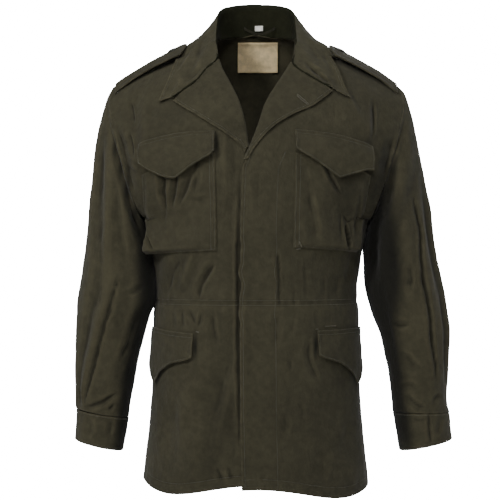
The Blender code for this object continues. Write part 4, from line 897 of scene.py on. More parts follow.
def grid_faces(rows, columns, ring):
    """Corners of the grid's cells, with the last column joined to the first on a ring."""
    index = np.arange(rows * columns).reshape(rows, columns)
    if ring:
        index = np.hstack([index, index[:, :1]])
    return np.stack([index[:-1, :-1], index[:-1, 1:], index[1:, 1:], index[1:, :-1]], -1).reshape(-1, 4)


def smoothed(field, ring):
    """The field averaged with its four neighbours, FOLD_SMOOTHING times."""
    for _ in range(FOLD_SMOOTHING):
        padded = np.pad(field, ((1, 1), (0, 0)), mode="edge")
        padded = np.pad(padded, ((0, 0), (1, 1)), mode="wrap" if ring else "edge")
        around = padded[:-2, 1:-1] + padded[2:, 1:-1] + padded[1:-1, :-2] + padded[1:-1, 2:]
        field = around / 8 + field / 2
    return field


def edge_distance(points, ring):
    """Distance in millimetres along the grid's lines to the nearest of its edges."""
    steps = np.linalg.norm(np.diff(points, axis=0), axis=-1)
    down = np.concatenate([0 * points[:1, :, 0], steps]).cumsum(0)
    near = np.minimum(down, down[-1:] - down)
    if ring:
        return near
    steps = np.linalg.norm(np.diff(points, axis=1), axis=-1)
    across = np.concatenate([0 * points[:, :1, 0], steps], 1).cumsum(1)
    return np.minimum(near, np.minimum(across, across[:, -1:] - across))


def add_values(mesh, name, values):
    """A named float for each vertex of the mesh."""
    layer = mesh.attributes.new(name, "FLOAT", "POINT")
    layer.data.foreach_set("value", np.asarray(values, np.float32).ravel())


def grid_uv(points, ring):
    """UV map in metres: across and down the grid, each by the mean length of its lines."""
    columns = points.shape[1]
    closed = np.concatenate([points, points[:, :1]], 1) if ring else points
    across = np.linalg.norm(np.diff(closed, axis=1), axis=-1).mean(0)
    down = np.linalg.norm(np.diff(points, axis=0), axis=-1).mean(1)
    u = np.concatenate([[0], np.cumsum(across)]) * MM
    v = np.concatenate([[0], np.cumsum(down)]) * MM
    wide = columns if ring else columns - 1
    corner_u = np.stack([u[:wide], u[1:wide + 1], u[1:wide + 1], u[:wide]], -1)
    corner_v = np.stack([v[:-1], v[:-1], v[1:], v[1:]], -1)
    uv = np.stack(np.broadcast_arrays(corner_u[None], corner_v[:, None]), -1)
    return uv.reshape(-1, 4, 2)


def cloth_wall(name, points, thick, material, ring=False, flip=None, rounded=0.0, inside=None,
               inner_columns=0, inner_share=1.0, shelter=None):
    """A cloth wall: a grid of points as its outer face, thickened inwards, with its values. fold is how
    far a point stands off the smoothed grid, edge how far it is from the grid's edges.

    The outer face looks away from the ring's axis or, on an open grid, from the body's axis. flip
    settles it by hand: True turns the grid's own order round. inside is the material of the inner face
    and of the first inner_columns of the outer one, along the middle inner_share of its rows. The last
    argument is painted shade: how far each point's colour is darkened where shade falls, 0 to 1.
    """
    rows, columns = points.shape[:2]
    faces = grid_faces(rows, columns, ring)
    flat = points.reshape(-1, 3)
    if flip is None:
        corners = flat[faces]
        axis = flat * [0, 0, 1]
        if ring:
            axis = np.repeat(points.mean(1, keepdims=True), columns, 1).reshape(-1, 3)
        out = (corners - axis[faces]).mean(1) * [1, 1, 0]
        normal = np.cross(corners[:, 2] - corners[:, 0], corners[:, 3] - corners[:, 1])
        flip = float((normal * out).sum()) < 0
    uv = grid_uv(points, ring)
    if flip:
        faces, uv = faces[:, ::-1], uv[:, ::-1]
    made = mesh_object(f"{name}_cloth", flat, faces, material)
    out = normals(points, ring) * (1 if flip else -1)
    SURFACES[name] = (points, out)
    wide = np.stack([smoothed(points[..., k], ring) for k in range(3)], -1)
    high = ((points - wide) * out).sum(-1)
    add_values(made.data, "fold", high)
    add_values(made.data, "edge", edge_distance(points, ring))
    # Painted shade, kept as a value of the mesh so that the material darkens its colour.
    if shelter is not None:
        add_values(made.data, "shelter", shelter)
    layer = made.data.uv_layers.new(name="cloth")
    layer.data.foreach_set("uv", np.ascontiguousarray(uv, np.float32).ravel())
    wall = made.modifiers.new("wall", "SOLIDIFY")
    wall.thickness = thick * MM
    wall.offset = -1
    if inside:
        made.data.materials.append(inside)
        wall.material_offset = 1
        row, column = np.indices((rows - 1, columns if ring else columns - 1))
        turned_in = (column < inner_columns) & (np.abs(2 * row / (rows - 2) - 1) < inner_share)
        made.data.polygons.foreach_set("material_index", turned_in.astype(np.int32).ravel())
    if rounded:
        turned = made.modifiers.new("turned edge", "BEVEL")
        turned.width = rounded * MM
        turned.segments = 2
        turned.limit_method = "ANGLE"
        turned.angle_limit = EDGE_ANGLE
    return made


# ---- fronts and back ----
def body_rows(half, count):
    """Row numbers spaced evenly up the panel's middle, with a narrow last step at the shoulder seam."""
    dense = np.linspace(0, TOP, SAMPLES)
    places = even_places(half.plain_point(np.full(SAMPLES, 0.55), dense), count)
    rows = np.interp(places, np.arange(SAMPLES), dense)
    return np.concatenate([rows[:-1], [TOP - 0.02, TOP]])


def seamed(shares):
    """Shares with a narrow last step, so that the cloth's edge stands square to the seam."""
    return np.concatenate([shares[:-1], [shares[-1] - NARROW_STEP, shares[-1]]])


def front_grid(half, edge, rows, columns):
    """From the fly edge and roll line to the side seam, armhole and shoulder: shares of each row."""
    v = body_rows(half, rows)
    start = half.start(v, edge)
    share = seamed(np.linspace(0, 1, columns))
    t = start[:, None] + (1 - start[:, None]) * share[None, :]
    points = half.point(t, np.repeat(v[:, None], len(share), 1))
    points[: int(np.searchsorted(v, UNDERARM_ROW)) + 1, -2:, 1] += SIDE_LAP
    points[-2:, :, 1] -= SEAM / 2
    return points


def wavy_edge(edge, low, high, size):
    """The free edge with the small waves of sewn cloth between two heights: a sum of two sines."""
    heights = np.arange(edge[0][0], edge[-1][0], 4.0)
    wave = np.sin(heights / 9.5) + 0.6 * np.sin(heights / 5.3 + 1.0)
    window = eased((heights - low) / 25.0) * eased((high - heights) / 25.0)
    return tuple(zip(heights, edge_x(edge, heights) + size * wave * window))


def neck_t(half):
    """t at which the shoulder seam reaches the neck."""
    places = np.linspace(0, 1, SAMPLES)
    across = np.abs(half.plain_point(places, np.full(SAMPLES, TOP))[:, 0])
    return float(np.interp(NECK_HALF_WIDTH, across, places))


def back_half_grid(half, rows, columns):
    """One half of the back: its columns end on the neckline, a rounded quarter, or the shoulder seam."""
    v = body_rows(half, rows)
    neck = neck_t(half)
    neck_columns = int(columns * neck)
    inside = np.linspace(0, neck, neck_columns)
    outside = seamed(np.linspace(neck, 1, columns - neck_columns))[1:]
    t = np.concatenate([inside, outside])
    curve = 1 - np.sqrt(np.maximum(1 - (t / neck) ** NECK_ROUNDNESS, 0))
    highest = np.where(t < neck, NECK_ROW + (TOP - NECK_ROW) * curve, TOP)
    shares = (highest[None, :] - UNDERARM_ROW) / (TOP - UNDERARM_ROW)
    above = UNDERARM_ROW + (v[:, None] - UNDERARM_ROW) * shares
    places = np.where(v[:, None] > UNDERARM_ROW, above, v[:, None])
    points = half.point(np.repeat(t[None, :], len(v), 0), places)
    points[: int(np.searchsorted(v, UNDERARM_ROW)) + 1, -2:, 1] -= SIDE_LAP
    points[-2:, t >= neck - 1e-6, 1] += SEAM / 2
    return points


def back_grid(rows, columns):
    """Both halves of the back, joined down the middle."""
    left = back_half_grid(BACK_LEFT, rows, columns)
    right = back_half_grid(BACK_RIGHT, rows, columns)
    return np.concatenate([right[:, :0:-1], left], 1)


# ---- sleeves and cuffs ----
def armhole(side, count):
    """count points up each half of the armhole, from the shoulder down the front and up the back, and
    the cloth's way there: its turn and dip from the table."""
    front, back = (FRONT_LEFT, BACK_LEFT) if side > 0 else (FRONT_RIGHT, BACK_RIGHT)
    points, ways = [], []
    for half, order in ((front, -1), (back, 1)):
        dense = np.linspace(UNDERARM_ROW, TOP, 300)
        places = even_places(half.plain_point(np.ones(300), dense), count)
        rows = np.interp(places, np.arange(300), dense)[::order]
        rows = rows if order < 0 else rows[1:-1]
        points.append(half.plain_point(np.ones(len(rows)), rows))
        values = smooth_rows(half.rows, rows, half.beyond)
        turn, dip = np.radians(values[:, 3:5]).T
        ways.append(np.stack([side * np.cos(turn) * np.cos(dip), -half.facing * np.sin(turn) * np.cos(dip),
                              -np.sin(dip)], 1))
    return np.concatenate(points), np.concatenate(ways)


def ring_angles(points):
    """An angle for each armhole point: 0 at the shoulder, 90 at the front, 180 at the underarm."""
    steps = np.linalg.norm(np.roll(points, -1, 0) - points, axis=1)
    lowest = int(np.argmin(points[:, 2]))
    down = np.concatenate([[0], np.cumsum(steps[:lowest])])
    up = np.cumsum(steps[lowest:])
    return np.concatenate([down / down[-1] * 180, 180 + up[:-1] / up[-1] * 180])


def arm_ring(rows, angles, side):
    """Ellipses of a sleeve or cuff, one for each row of z, outer_x, inner_x, mid_y, half_depth, tilt."""
    z, outer, inner, mid_y, half_depth, tilt = (column[..., None] for column in np.moveaxis(rows, -1, 0))
    turn = np.radians(angles)
    x = (outer + inner) / 2 + (outer - inner) / 2 * np.cos(turn)
    y = mid_y - half_depth * np.sin(turn)
    return np.stack([side * x, y, z + tilt * np.cos(turn)], -1)


def sleeve_grid(side, rows, folds, creases, cap_rings, arm_rings, count):
    """Rings from the armhole to the cuff: a Hermite curve down to the first ellipse, then the ellipses.

    The creases lie on the front half, those of SLEEVE_BACK_CREASES on the back half.
    """
    points, ways = armhole(side, count)
    angles = ring_angles(points)
    table = np.array(rows, float)
    outer_lean, body_lean = ARM_LEAN[side]
    lean = body_lean + (outer_lean - body_lean) * (1 + np.cos(np.radians(angles))) / 2
    down = np.stack([side * lean, 0 * lean, -1 + 0 * lean], -1)
    under = eased((1 - np.cos(np.radians(angles))) / 1.1)[:, None]
    leave = unit(ways * (1 - under) + unit(np.array([UNDERARM_LEAN * side, 0.0, -1.0])) * under)
    outward = unit(points - points.mean(0))
    clear = np.array([side * UNDERARM_CLEARANCE, 0, 0]) + outward * 0.1
    start = points + ways * SEAM * (1 - under) + clear * under
    end = arm_ring(table[:1], angles, side)[0]
    way = np.linalg.norm(end - start, axis=1)[:, None]
    share = np.concatenate([[0, NARROW_STEP], np.linspace(0, 1, cap_rings + 1)[1:-1]])[:, None, None]
    s2, s3 = share ** 2, share ** 3
    cap = ((2 * s3 - 3 * s2 + 1) * start + (s3 - 2 * s2 + share) * leave * way * CAP_REACH
           + (3 * s2 - 2 * s3) * end + (s3 - s2) * down * way * ARM_REACH)
    places = even_places(arm_ring(table, np.array([90.0]), side)[:, 0], arm_rings)
    grid = np.concatenate([cap, arm_ring(smooth_rows(table, places), angles, side)])
    axis = grid.mean(1, keepdims=True)
    out = level_way(axis, grid)
    bend = np.degrees(np.arctan2(-(grid - axis)[..., 1], side * (grid - axis)[..., 0])) % 360
    depth = fold_depth(bend, grid[..., 2], folds)
    x, z = grid[..., 0], grid[..., 2]
    ahead = towards_front(out)
    depth += crease_depth(x, z, creases) * ahead
    depth += crease_depth(side * x, z, SLEEVE_BACK_CREASES) * (1 - ahead)
    depth += undulation(grid, 11 + side, SLEEVE_UNEVEN)
    from_top = np.linalg.norm(grid - grid[:1], axis=-1)
    from_end = np.linalg.norm(grid - grid[-1:], axis=-1)
    near_top, near_end = SLEEVE_SEAM_REACH
    depth += ripples(grid, SLEEVE_RIPPLE, side) * (bell(from_top, near_top) + bell(from_end, near_end))
    groove, middle, width = ARMHOLE_GROOVE
    depth += groove * bell(from_top - middle, width)
    lean_in, low, high = SLEEVE_LEAN_IN[side]
    towards = eased((-side * out[..., 0] - 0.2) / 0.6)
    depth -= lean_in * towards * eased((z - low) / 100.0) * eased((high - z) / 60.0)
    fade = eased(from_top / 5.0) * eased(from_end / 2.0)
    return grid - out * (depth * fade)[..., None]


def sleeve_painted_shade(side, grid):
    """Painted shade on a sleeve, from 0 to 1: how far each point faces the body that shades it, fading
    out down the forearm, or the painted shade patches of its front, whichever is more."""
    axis = grid.mean(1, keepdims=True)
    out = level_way(axis, grid)
    begins, width, low, high = SLEEVE_PAINTED_SHADE[side]
    z = grid[..., 2]
    narrower = PAINTED_SHADE_NARROWS[side] * eased((-370.0 - z) / 120.0)
    towards = eased((-side * out[..., 0] - begins - narrower) / width)
    ahead = towards_front(out)
    return np.maximum(towards * eased((z - low) / 110.0) * eased((high - z) / 60.0),
                      painted_shade_patches(grid, SLEEVE_PAINTED_SHADE_PATCHES[side]) * ahead)


def cuff_grid(side, rows, count, columns):
    """A band round the wrist whose end laps over its start, each ring pushed out towards its end."""
    turn = np.linspace(0, 360 + CUFF_LAP, columns)
    over = eased((turn - CUFF_RISES[0]) / CUFF_RISES[1]) * (CUFF_CLOTH + CUFF_LAP_GAP)
    table = smooth_rows(np.array(rows, float), np.linspace(0, len(rows) - 1, count))
    ring = arm_ring(table, CUFF_START + turn, side)
    centre = arm_ring(table, np.array([0.0, 180.0]), side).mean(1, keepdims=True)
    out = level_way(centre, ring)
    share = np.linspace(0, 1, count)[:, None]
    soft = ripples(ring, CUFF_RIPPLE, side)
    soft += ripples(ring, CUFF_SEAM_RIPPLE, side) * eased(1 - share / 0.35)
    pressed = CUFF_PRESSED[0] * eased(1 - np.minimum(share, 1 - share) / CUFF_PRESSED[1])
    ahead = towards_front(out)
    soft += crease_depth(ring[..., 0], ring[..., 2], CUFF_CREASES) * ahead
    return ring + out * (over[None, :] - soft * eased(share / 0.08) - pressed)[..., None]


# ---- lapels and collar ----
def roll_line(edge, low, high, count):
    """x and height of the roll line between two heights."""
    z = np.linspace(low, high, count)
    return np.stack([edge_x(edge, z), z], -1)


def fold_in(half, t, z, lift, share):
    """Points of the facing: from inside the front, half a circle round its free edge, to the lapel."""
    v = half.v_at(t, z)
    edge = half.point(t, v)
    normal = half.plain_normal(t, v)
    inward = -unit(half.plain_point(t + 0.01, v) - half.plain_point(t, v))
    inner = CLOTH + lift
    middle = edge + normal * (lift - inner) / 2
    radius = (lift + inner) / 2
    wrap = LAPEL_WRAP * min(1.0, 0.4 + 2 * share)
    turned = [edge - normal * inner - inward * wrap, edge - normal * inner - inward * wrap * 0.4]
    for bend in np.radians((-90, -45, 0, 45)):
        turned.append(middle + inward * (radius * math.cos(bend) + 0.4) + normal * radius * math.sin(bend))
    return np.array(turned)


def lapel_grid(half, edge, outline, gorge, break_z, rows, columns):
    """The turned-back top of a front: straight lines from the roll line out, bowed along the gorge."""
    roll = roll_line(edge, break_z, gorge[0][1], LAPEL_ROWS + 1)
    outer = along(outline, np.linspace(0, 1, LAPEL_ROWS + 1))
    outer[0] += (outer[1] - outer[0]) * 0.25
    across = np.array(LAPEL_ACROSS)
    gorge_line = along(gorge, across)
    share = np.linspace(0, 1, LAPEL_ROWS + 1)
    straight = roll[:, None] + (outer - roll)[:, None] * across[None, :, None]
    bow = gorge_line + (outer[-1] - gorge_line[-1]) * across[:, None] ** 5 - straight[-1]
    flat = straight + bow[None] * eased((share - 0.55) / 0.45)[:, None, None]
    t = half.t_at(flat[..., 0], flat[..., 1])
    v = half.v_at(t, flat[..., 1])
    spread = np.minimum(1.0, 0.35 + share * 2.0)[:, None]
    lift = LAPEL_FOLD_LIFT + (LAPEL_LIFT - LAPEL_FOLD_LIFT) * np.sqrt(across) * spread
    inner = np.array([fold_in(half, t[row, 0], flat[row, 0, 1], lift[row, 0], share[row])
                      for row in range(LAPEL_ROWS + 1)])
    at_rows = np.linspace(0, LAPEL_ROWS, rows)
    at_columns = np.linspace(0, len(across) - 1, columns)
    fine_t, fine_v, fine_lift = finer(np.stack([t, v, lift], -1), at_rows, at_columns).transpose(2, 0, 1)
    face = half.lifted(fine_t, fine_v, fine_lift)
    soft = ripples(face, LAPEL_RIPPLES[0], half.side) + ripples(face, LAPEL_RIPPLES[1], half.side)
    soft *= eased(at_columns / 1.2) * eased((LAPEL_ROWS - at_rows) / 1.5)[:, None]
    face = face - half.plain_normal(fine_t, fine_v) * soft[..., None]
    turned = finer(inner, at_rows, np.linspace(0, inner.shape[1] - 1, FACING_COLUMNS))
    return np.concatenate([turned[:, :-1], face], 1)


def collar_half_grid(half, front_edge, gorge):
    """Coarse sections of the collar from the notch to the centre back, each from seam to fold to edge."""
    across = np.array(COLLAR_ACROSS)
    gorge_points = along(gorge, np.linspace(1, 0, COLLAR_FRONT_SECTIONS))
    edge_points = along(front_edge, np.linspace(1, 0, COLLAR_FRONT_SECTIONS))
    begin = gorge_points + unit(edge_points - gorge_points) * SEAM
    flat = begin[:, None] + (edge_points - begin)[:, None] * across[None, :, None]
    out_share = np.linspace(1, 0, COLLAR_FRONT_SECTIONS)[:, None]
    low = LAPEL_FOLD_LIFT + (LAPEL_LIFT - LAPEL_FOLD_LIFT) * out_share
    lift = low + GORGE_STEP + (COLLAR_LIFT - low) * np.sqrt(across)
    t = half.t_at(flat[..., 0], flat[..., 1])
    face = half.lifted(t, half.v_at(t, flat[..., 1]), lift)
    tucked = np.linspace(-1, -0.25, 3)[None, :, None] * 0.6 * unit(face[:, 1:2] - face[:, :1])
    front = np.concatenate([face[:, :1] + tucked, face], 1)
    table = np.array(COLLAR_BACK_ROWS, float)
    table[:, 6] *= COLLAR_SPREAD[half.side]
    table[:, [0, 3, 6]] *= half.side
    rows = smooth_rows(table, np.linspace(0, len(table) - 1, COLLAR_SECTIONS))
    seam, fold, edge = rows[:, None, :3], rows[:, None, 3:6], rows[:, None, 6:]
    out = level_way(fold, edge)
    stand = seam + (fold - seam) * np.array(COLLAR_STAND)[None, :, None]
    stand[:, :1] -= out * np.interp(np.abs(seam[..., :1]), *STAND_TUCKS)
    top, over = (fold + out * reach + np.array([0, 0, rise]) for reach, rise in COLLAR_FOLD)
    fall = over + (edge - over) * np.array(COLLAR_FALL)[None, :, None]
    return np.concatenate([front, np.concatenate([stand, top, over, fall], 1)])


def collar_grid(sections, columns):
    """Both halves of the collar, read along a Catmull-Rom curve each way, with its relief."""
    right = collar_half_grid(FRONT_RIGHT, RIGHT_COLLAR_FRONT_EDGE, RIGHT_GORGE)
    left = collar_half_grid(FRONT_LEFT, LEFT_COLLAR_FRONT_EDGE, LEFT_GORGE)
    coarse = np.concatenate([right, left[-2::-1]])
    at_columns = np.linspace(0, coarse.shape[1] - 1, columns)
    grid = finer(coarse, np.linspace(0, len(coarse) - 1, sections), at_columns)
    out = normals(grid)
    x, z = grid[..., 0], grid[..., 2]
    place = at_columns[None, :]
    on_fall = eased((place - 3.4) / 1.2) + 0 * x
    seen = eased(-out[..., 1] * 1.5 + 0.3) * on_fall
    depth = (crease_depth(x, z, LEFT_COLLAR_CREASES) + crease_depth(x, z, RIGHT_COLLAR_CREASES)) * seen
    depth += ripples(grid, COLLAR_FALL_RIPPLE) * on_fall
    depth += ripples(grid, COLLAR_RIPPLE)
    depth *= eased(place / 0.6)
    return grid - out * depth[..., None]


# ---- pockets and flaps ----
def pocket_grid(half, outline, creases, rows, columns):
    """A patch whose inner edge is sewn flat and whose outer and lower edges stand off on a gusset."""
    coarse_down, coarse_across = (np.linspace(0, 1, count) for count in POCKET_COARSE)
    inner_x, inner_z, outer_x, outer_z = along(outline, coarse_down).T
    t_in, t_out = half.t_at(inner_x, inner_z), half.t_at(outer_x, outer_z)
    t = t_in[:, None] + (t_out - t_in)[:, None] * coarse_across
    z = inner_z[:, None] + (outer_z - inner_z)[:, None] * coarse_across
    v = half.v_at(t, z)
    down, across = np.linspace(0, 1, rows), np.linspace(0, 1, columns)
    last_row, last_column = (count - 1 for count in POCKET_COARSE)
    t, v = finer(np.stack([t, v], -1), down * last_row, across * last_column).transpose(2, 0, 1)
    shares, mouth, bottom = np.array(POCKET_LIFTS).T
    mouth, bottom = np.interp(across, shares, mouth), np.interp(across, shares, bottom)
    lift = mouth * (1 - down[:, None]) + bottom * down[:, None]
    lift = POCKET_SEAM_LIFT + (lift - POCKET_SEAM_LIFT) * (1 - eased((down - 0.93) / 0.07)[:, None])
    lift = (np.pad(lift, ((0, 0), (1, 1)), mode="edge")[:, :-2] + lift
            + np.pad(lift, ((0, 0), (1, 1)), mode="edge")[:, 2:]) / 3
    face = half.lifted(t, v, lift)
    halfway, foot = POCKET_FLARE[half.side]
    flare = halfway * eased(down / 0.45) + foot * eased((down - 0.6) / 0.35)
    face[..., 0] += half.side * flare[:, None] * eased((across - 0.5) / 0.5)
    from_edge = edge_distance(face, False)
    depth = crease_depth(face[..., 0], face[..., 2], creases)
    depth += ripples(face, POCKET_RIPPLES[0], half.side)
    depth += ripples(face, POCKET_RIPPLES[1], half.side)
    depth += ripples(face, POCKET_EDGE_RIPPLE, half.side) * bell(from_edge, POCKET_EDGE_REACH)
    depth *= eased(from_edge / 7.0)
    depth = np.minimum(depth, lift - POCKET_ROOM)
    return face - half.plain_normal(t, v) * depth[..., None]


def flap_grid(half, t, top, low, lifts, rows, columns, seed):
    """A flap sewn along its top edge: straight lines from the top edge to its lower outline."""
    count = len(lifts)
    z = top[None, :] + (low - top)[None, :] * np.linspace(0, 1, count)[:, None]
    v = half.v_at(np.repeat(t[None, :], count, 0), z)
    at_rows, at_columns = np.linspace(0, count - 1, rows), np.linspace(0, len(t) - 1, columns)
    lift = np.interp(at_rows, np.arange(count), lifts)
    across = np.interp(at_columns, np.arange(len(t)), t)
    fine_t = np.repeat(across[None, :], rows, 0)
    fine_v = finer(v[..., None], at_rows, at_columns)[..., 0]
    face = half.lifted(fine_t, fine_v, np.repeat(lift[:, None], columns, 1))
    share = np.linspace(0, 1, rows)[:, None]
    depth = ripples(face, FLAP_RIPPLES[0], seed) + ripples(face, FLAP_RIPPLES[1], seed)
    curl = -FLAP_CURL * share ** 3
    return face - half.plain_normal(fine_t, fine_v) * (depth * eased(share / 0.3) + curl)[..., None]


def flap_outline(along_top, top, low):
    """The outline at even places: straight between its corners, each corner of the lower edge blunted
    by its neighbours."""
    places = np.linspace(along_top[0], along_top[-1], FLAP_POINTS)
    top, low = np.interp(places, along_top, top), np.interp(places, along_top, low)
    low[1:-1] = (low[:-2] + 2 * low[1:-1] + low[2:]) / 4
    return places, top, low


def chest_flap_grid(half, outline, rows, columns, seed):
    """A pointed flap from its outline's corners, straight between them and blunt at each corner."""
    x, top, low = np.array(outline, float).T
    places, top, low = flap_outline(x, top, low)
    return flap_grid(half, half.t_at(places, top), top, low, CHEST_FLAP_LIFTS, rows, columns, seed)


def hip_flap_grid(half, outline, rows, columns, seed):
    """The hip flap, placed by shares of the body row because it runs round to the side."""
    shares, top, low = flap_outline(np.array(HIP_ALONG), *np.array(outline, float).T)
    first = float(half.t_at(HIP_INNER_X[half.side], top[0]))
    t = first + (HIP_OUTER_SHARE - first) * shares
    return flap_grid(half, t, top, low, HIP_FLAP_LIFTS, rows, columns, seed)


# ---- shoulder straps ----
def on_roof(side, x, y, lift):
    """Points over the shoulder at (x, y): the nearest point's tangent plane, then out by lift."""
    halves = (FRONT_LEFT, BACK_LEFT) if side > 0 else (FRONT_RIGHT, BACK_RIGHT)
    t, v = np.meshgrid(np.linspace(0.2, 1, 110), np.linspace(ROOF_ROW, TOP, 130))
    points = np.concatenate([half.plain_point(t, v).reshape(-1, 3) for half in halves])
    ways = np.concatenate([half.plain_normal(t, v).reshape(-1, 3) for half in halves])
    wanted = np.stack([side * np.ravel(x), np.ravel(y)], -1)
    away = ((points[None, :, :2] - wanted[:, None]) ** 2).sum(-1)
    nearest = away.argmin(1)
    near, way = points[nearest], ways[nearest]
    slope = -(way[:, :2] * (wanted - near[:, :2])).sum(-1) / way[:, 2]
    made = np.concatenate([wanted, (near[:, 2] + slope)[:, None]], 1) + way * np.ravel(lift)[:, None]
    return made.reshape(*np.shape(x), 3), way.reshape(*np.shape(x), 3)


def strap_grid(side, rows, columns):
    """Shoulder strap from the armhole seam to its pointed end, standing higher towards the point."""
    shares = np.linspace(0, 1, len(STRAP_LIFTS))
    across = np.linspace(-1, 1, STRAP_ACROSS)
    y = STRAP_HALF_WIDTH * across[None, :] + 2.0 + 0 * shares[:, None]
    tip = STRAP_TIP_X[side] + STRAP_TIP_LENGTH * np.abs(across) ** 1.4
    x = STRAP_END_X + (tip[None, :] - STRAP_END_X) * shares[:, None]
    arch = 1 + STRAP_ARCH * np.abs(across + 0.1) ** 2.2
    lift = 1.6 + (np.array(STRAP_LIFTS)[:, None] - 1.6) * arch[None, :]
    points = on_roof(side, x, y, lift)[0]
    at_rows = np.linspace(0, len(shares) - 1, rows)
    grid = finer(points, at_rows, np.linspace(0, STRAP_ACROSS - 1, columns))
    soft = ripples(grid, STRAP_RIPPLE, side)
    return grid + np.array([0, 0, 1.0]) * (soft * eased(at_rows)[:, None])[..., None]


# ---- inside the neck ----
def stand_inner(x, z):
    """Points just inside the collar stand at x and height z: straight from its seam to its fold."""
    fine = smooth_rows(np.array(COLLAR_BACK_ROWS, float), np.linspace(2.0, 4.0, 60))[::-1]
    low = np.interp(np.abs(x), fine[:, 0], fine[:, 2])
    share = (z - low) / (np.interp(np.abs(x), fine[:, 0], fine[:, 5]) - low)
    seam_y = np.interp(np.abs(x), fine[:, 0], fine[:, 1])
    fold_y = np.interp(np.abs(x), fine[:, 0], fine[:, 4])
    return np.stack([x, seam_y + (fold_y - seam_y) * share, z], -1)


def tag_grid():
    """The size tag: a small rectangle on the stand, its lower edge a little free."""
    x, z = np.meshgrid(np.linspace(*TAG_X, 14), np.linspace(*TAG_Z, 12))
    points = stand_inner(x, z)
    points[..., 1] -= LINING_CLEARANCE + 1.2 * eased((TAG_Z[1] - z) / 10.0)
    return points


def loop_grid():
    """Tape loop sewn at both ends to the foot of the stand, hanging in a parabola between them."""
    share = np.linspace(-1, 1, LOOP_COLUMNS)
    rows = []
    for edge in np.linspace(0.5, -0.5, 5):
        points = stand_inner(LOOP_CENTRE_X + LOOP_HALF_SPAN * share, LOOP_Z + edge * LOOP_WIDTH + 0 * share)
        points[:, 1] -= LINING_CLEARANCE + LOOP_STANDS_OFF * (1 - share ** 4)
        points[:, 2] -= LOOP_SAG * (1 - share ** 2)
        rows.append(points)
    return np.array(rows)


def inside_back(x, z, depth):
    """Points inside the back at x and height z, depth in from its outer face."""
    t = BACK_LEFT.t_at(np.abs(x), z)
    v = BACK_LEFT.v_at(t, z)
    way = BACK_LEFT.plain_normal(t, v)
    way[..., 0] *= np.where(x < 0, -1, 1)
    points = BACK_LEFT.plain_point(t, v)
    points[..., 0] = x
    return points - way * depth


def label_grid():
    """The neck label: a rectangle of bare woven cloth inside the back, a little uneven."""
    x, z = np.meshgrid(np.linspace(*LABEL_X, 26), np.linspace(*LABEL_Z, 20))
    points = inside_back(x, z, CLOTH + LABEL_CLEARANCE)
    points[..., 1] -= ripples(points, LABEL_RIPPLE)
    return points


# ---- buttons ----
BUTTON_PROFILE = ((0.0, 2.0), (0.30, 2.0), (0.52, 2.1), (0.66, 2.6), (0.78, 3.2), (0.90, 3.1), (0.98, 2.3),
                  (1.0, 1.4), (0.96, 0.5), (0.84, 0.0), (0.0, 0.0))
BUTTON_RINGS, BUTTON_SIDES = 34, 40
BUTTON_FACE_RINGS = 14  # the rings that can be sunk by a hole
HOLE_RADIUS = 0.95
HOLE_DEPTH = 1.5
HOLE_SPACING = 2.0
BUTTON_THREAD = (1.0, 0.7)  # its width and height
THREAD_LIFT = 2.25  # off the back of the button


def turned_button(centre, outward, tilt):
    """A button turned from BUTTON_PROFILE: radius as a share, and height. Its four holes are sunk."""
    profile = smooth_rows(np.array(BUTTON_PROFILE), np.linspace(0, len(BUTTON_PROFILE) - 1, BUTTON_RINGS))
    turn = np.linspace(0, 2 * np.pi, BUTTON_SIDES, endpoint=False)
    radius = np.clip(profile[:, :1], 0, 1.005) * BUTTON_DIAMETER / 2
    x, y = radius * np.cos(turn), radius * np.sin(turn)
    z = profile[:, 1:] + 0 * x
    holes = [(sx * HOLE_SPACING, sy * HOLE_SPACING) for sx in (-1, 1) for sy in (-1, 1)]
    away = np.min([np.hypot(x - hx, y - hy) for hx, hy in holes], axis=0)
    face = np.arange(len(profile))[:, None] < BUTTON_FACE_RINGS
    z = z - HOLE_DEPTH * eased((HOLE_RADIUS * 1.25 - away) / (HOLE_RADIUS * 0.6)) * face
    up = unit(np.asarray(outward, float))
    side = unit(np.cross(up, [math.sin(tilt), 0.2, math.cos(tilt)]))
    other = np.cross(up, side)
    points = centre + x[..., None] * side + y[..., None] * other + z[..., None] * up
    return points, up, side, other


def button_objects(node_name, centre, outward, tilt):
    """The turned button, closed at both poles, and the cross of thread through its holes."""
    points, up, side, other = turned_button(centre, outward, tilt)
    rings = points[1:-1]
    faces = grid_faces(len(rings), rings.shape[1], True)[:, ::-1].tolist()
    flat = np.concatenate([rings.reshape(-1, 3), points[0].mean(0)[None], points[-1].mean(0)[None]])
    last, wide = len(flat) - 1, rings.shape[1]
    bottom = (len(rings) - 1) * wide
    faces += [(last - 1, k, (k + 1) % wide) for k in range(wide)]
    faces += [(last, bottom + (k + 1) % wide, bottom + k) for k in range(wide)]
    made = mesh_object(f"{node_name}_moulded", flat, faces, button_material())
    turn_outwards(made)
    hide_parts(node_name)
    ends = []
    for way, across in ((side, other), (other, side)):
        for sign in (-1, 1):
            middle = centre + up * THREAD_LIFT + across * sign * HOLE_SPACING
            ends.append((middle - way * HOLE_SPACING, middle + way * HOLE_SPACING))
    starts, stops = np.array([e[0] for e in ends]), np.array([e[1] for e in ends])
    thread = dashes((starts + stops) / 2, stops - starts, np.repeat(up[None], 4, 0), *BUTTON_THREAD)
    stitched = mesh_object(f"{node_name}_thread", *thread, thread_material())
    return made


def turn_outwards(made):
    """Faces turned outwards over a closed mesh."""
    shape = bmesh.new()
    shape.from_mesh(made.data)
    bmesh.ops.recalc_face_normals(shape, faces=shape.faces)
    shape.to_mesh(made.data)
    shape.free()


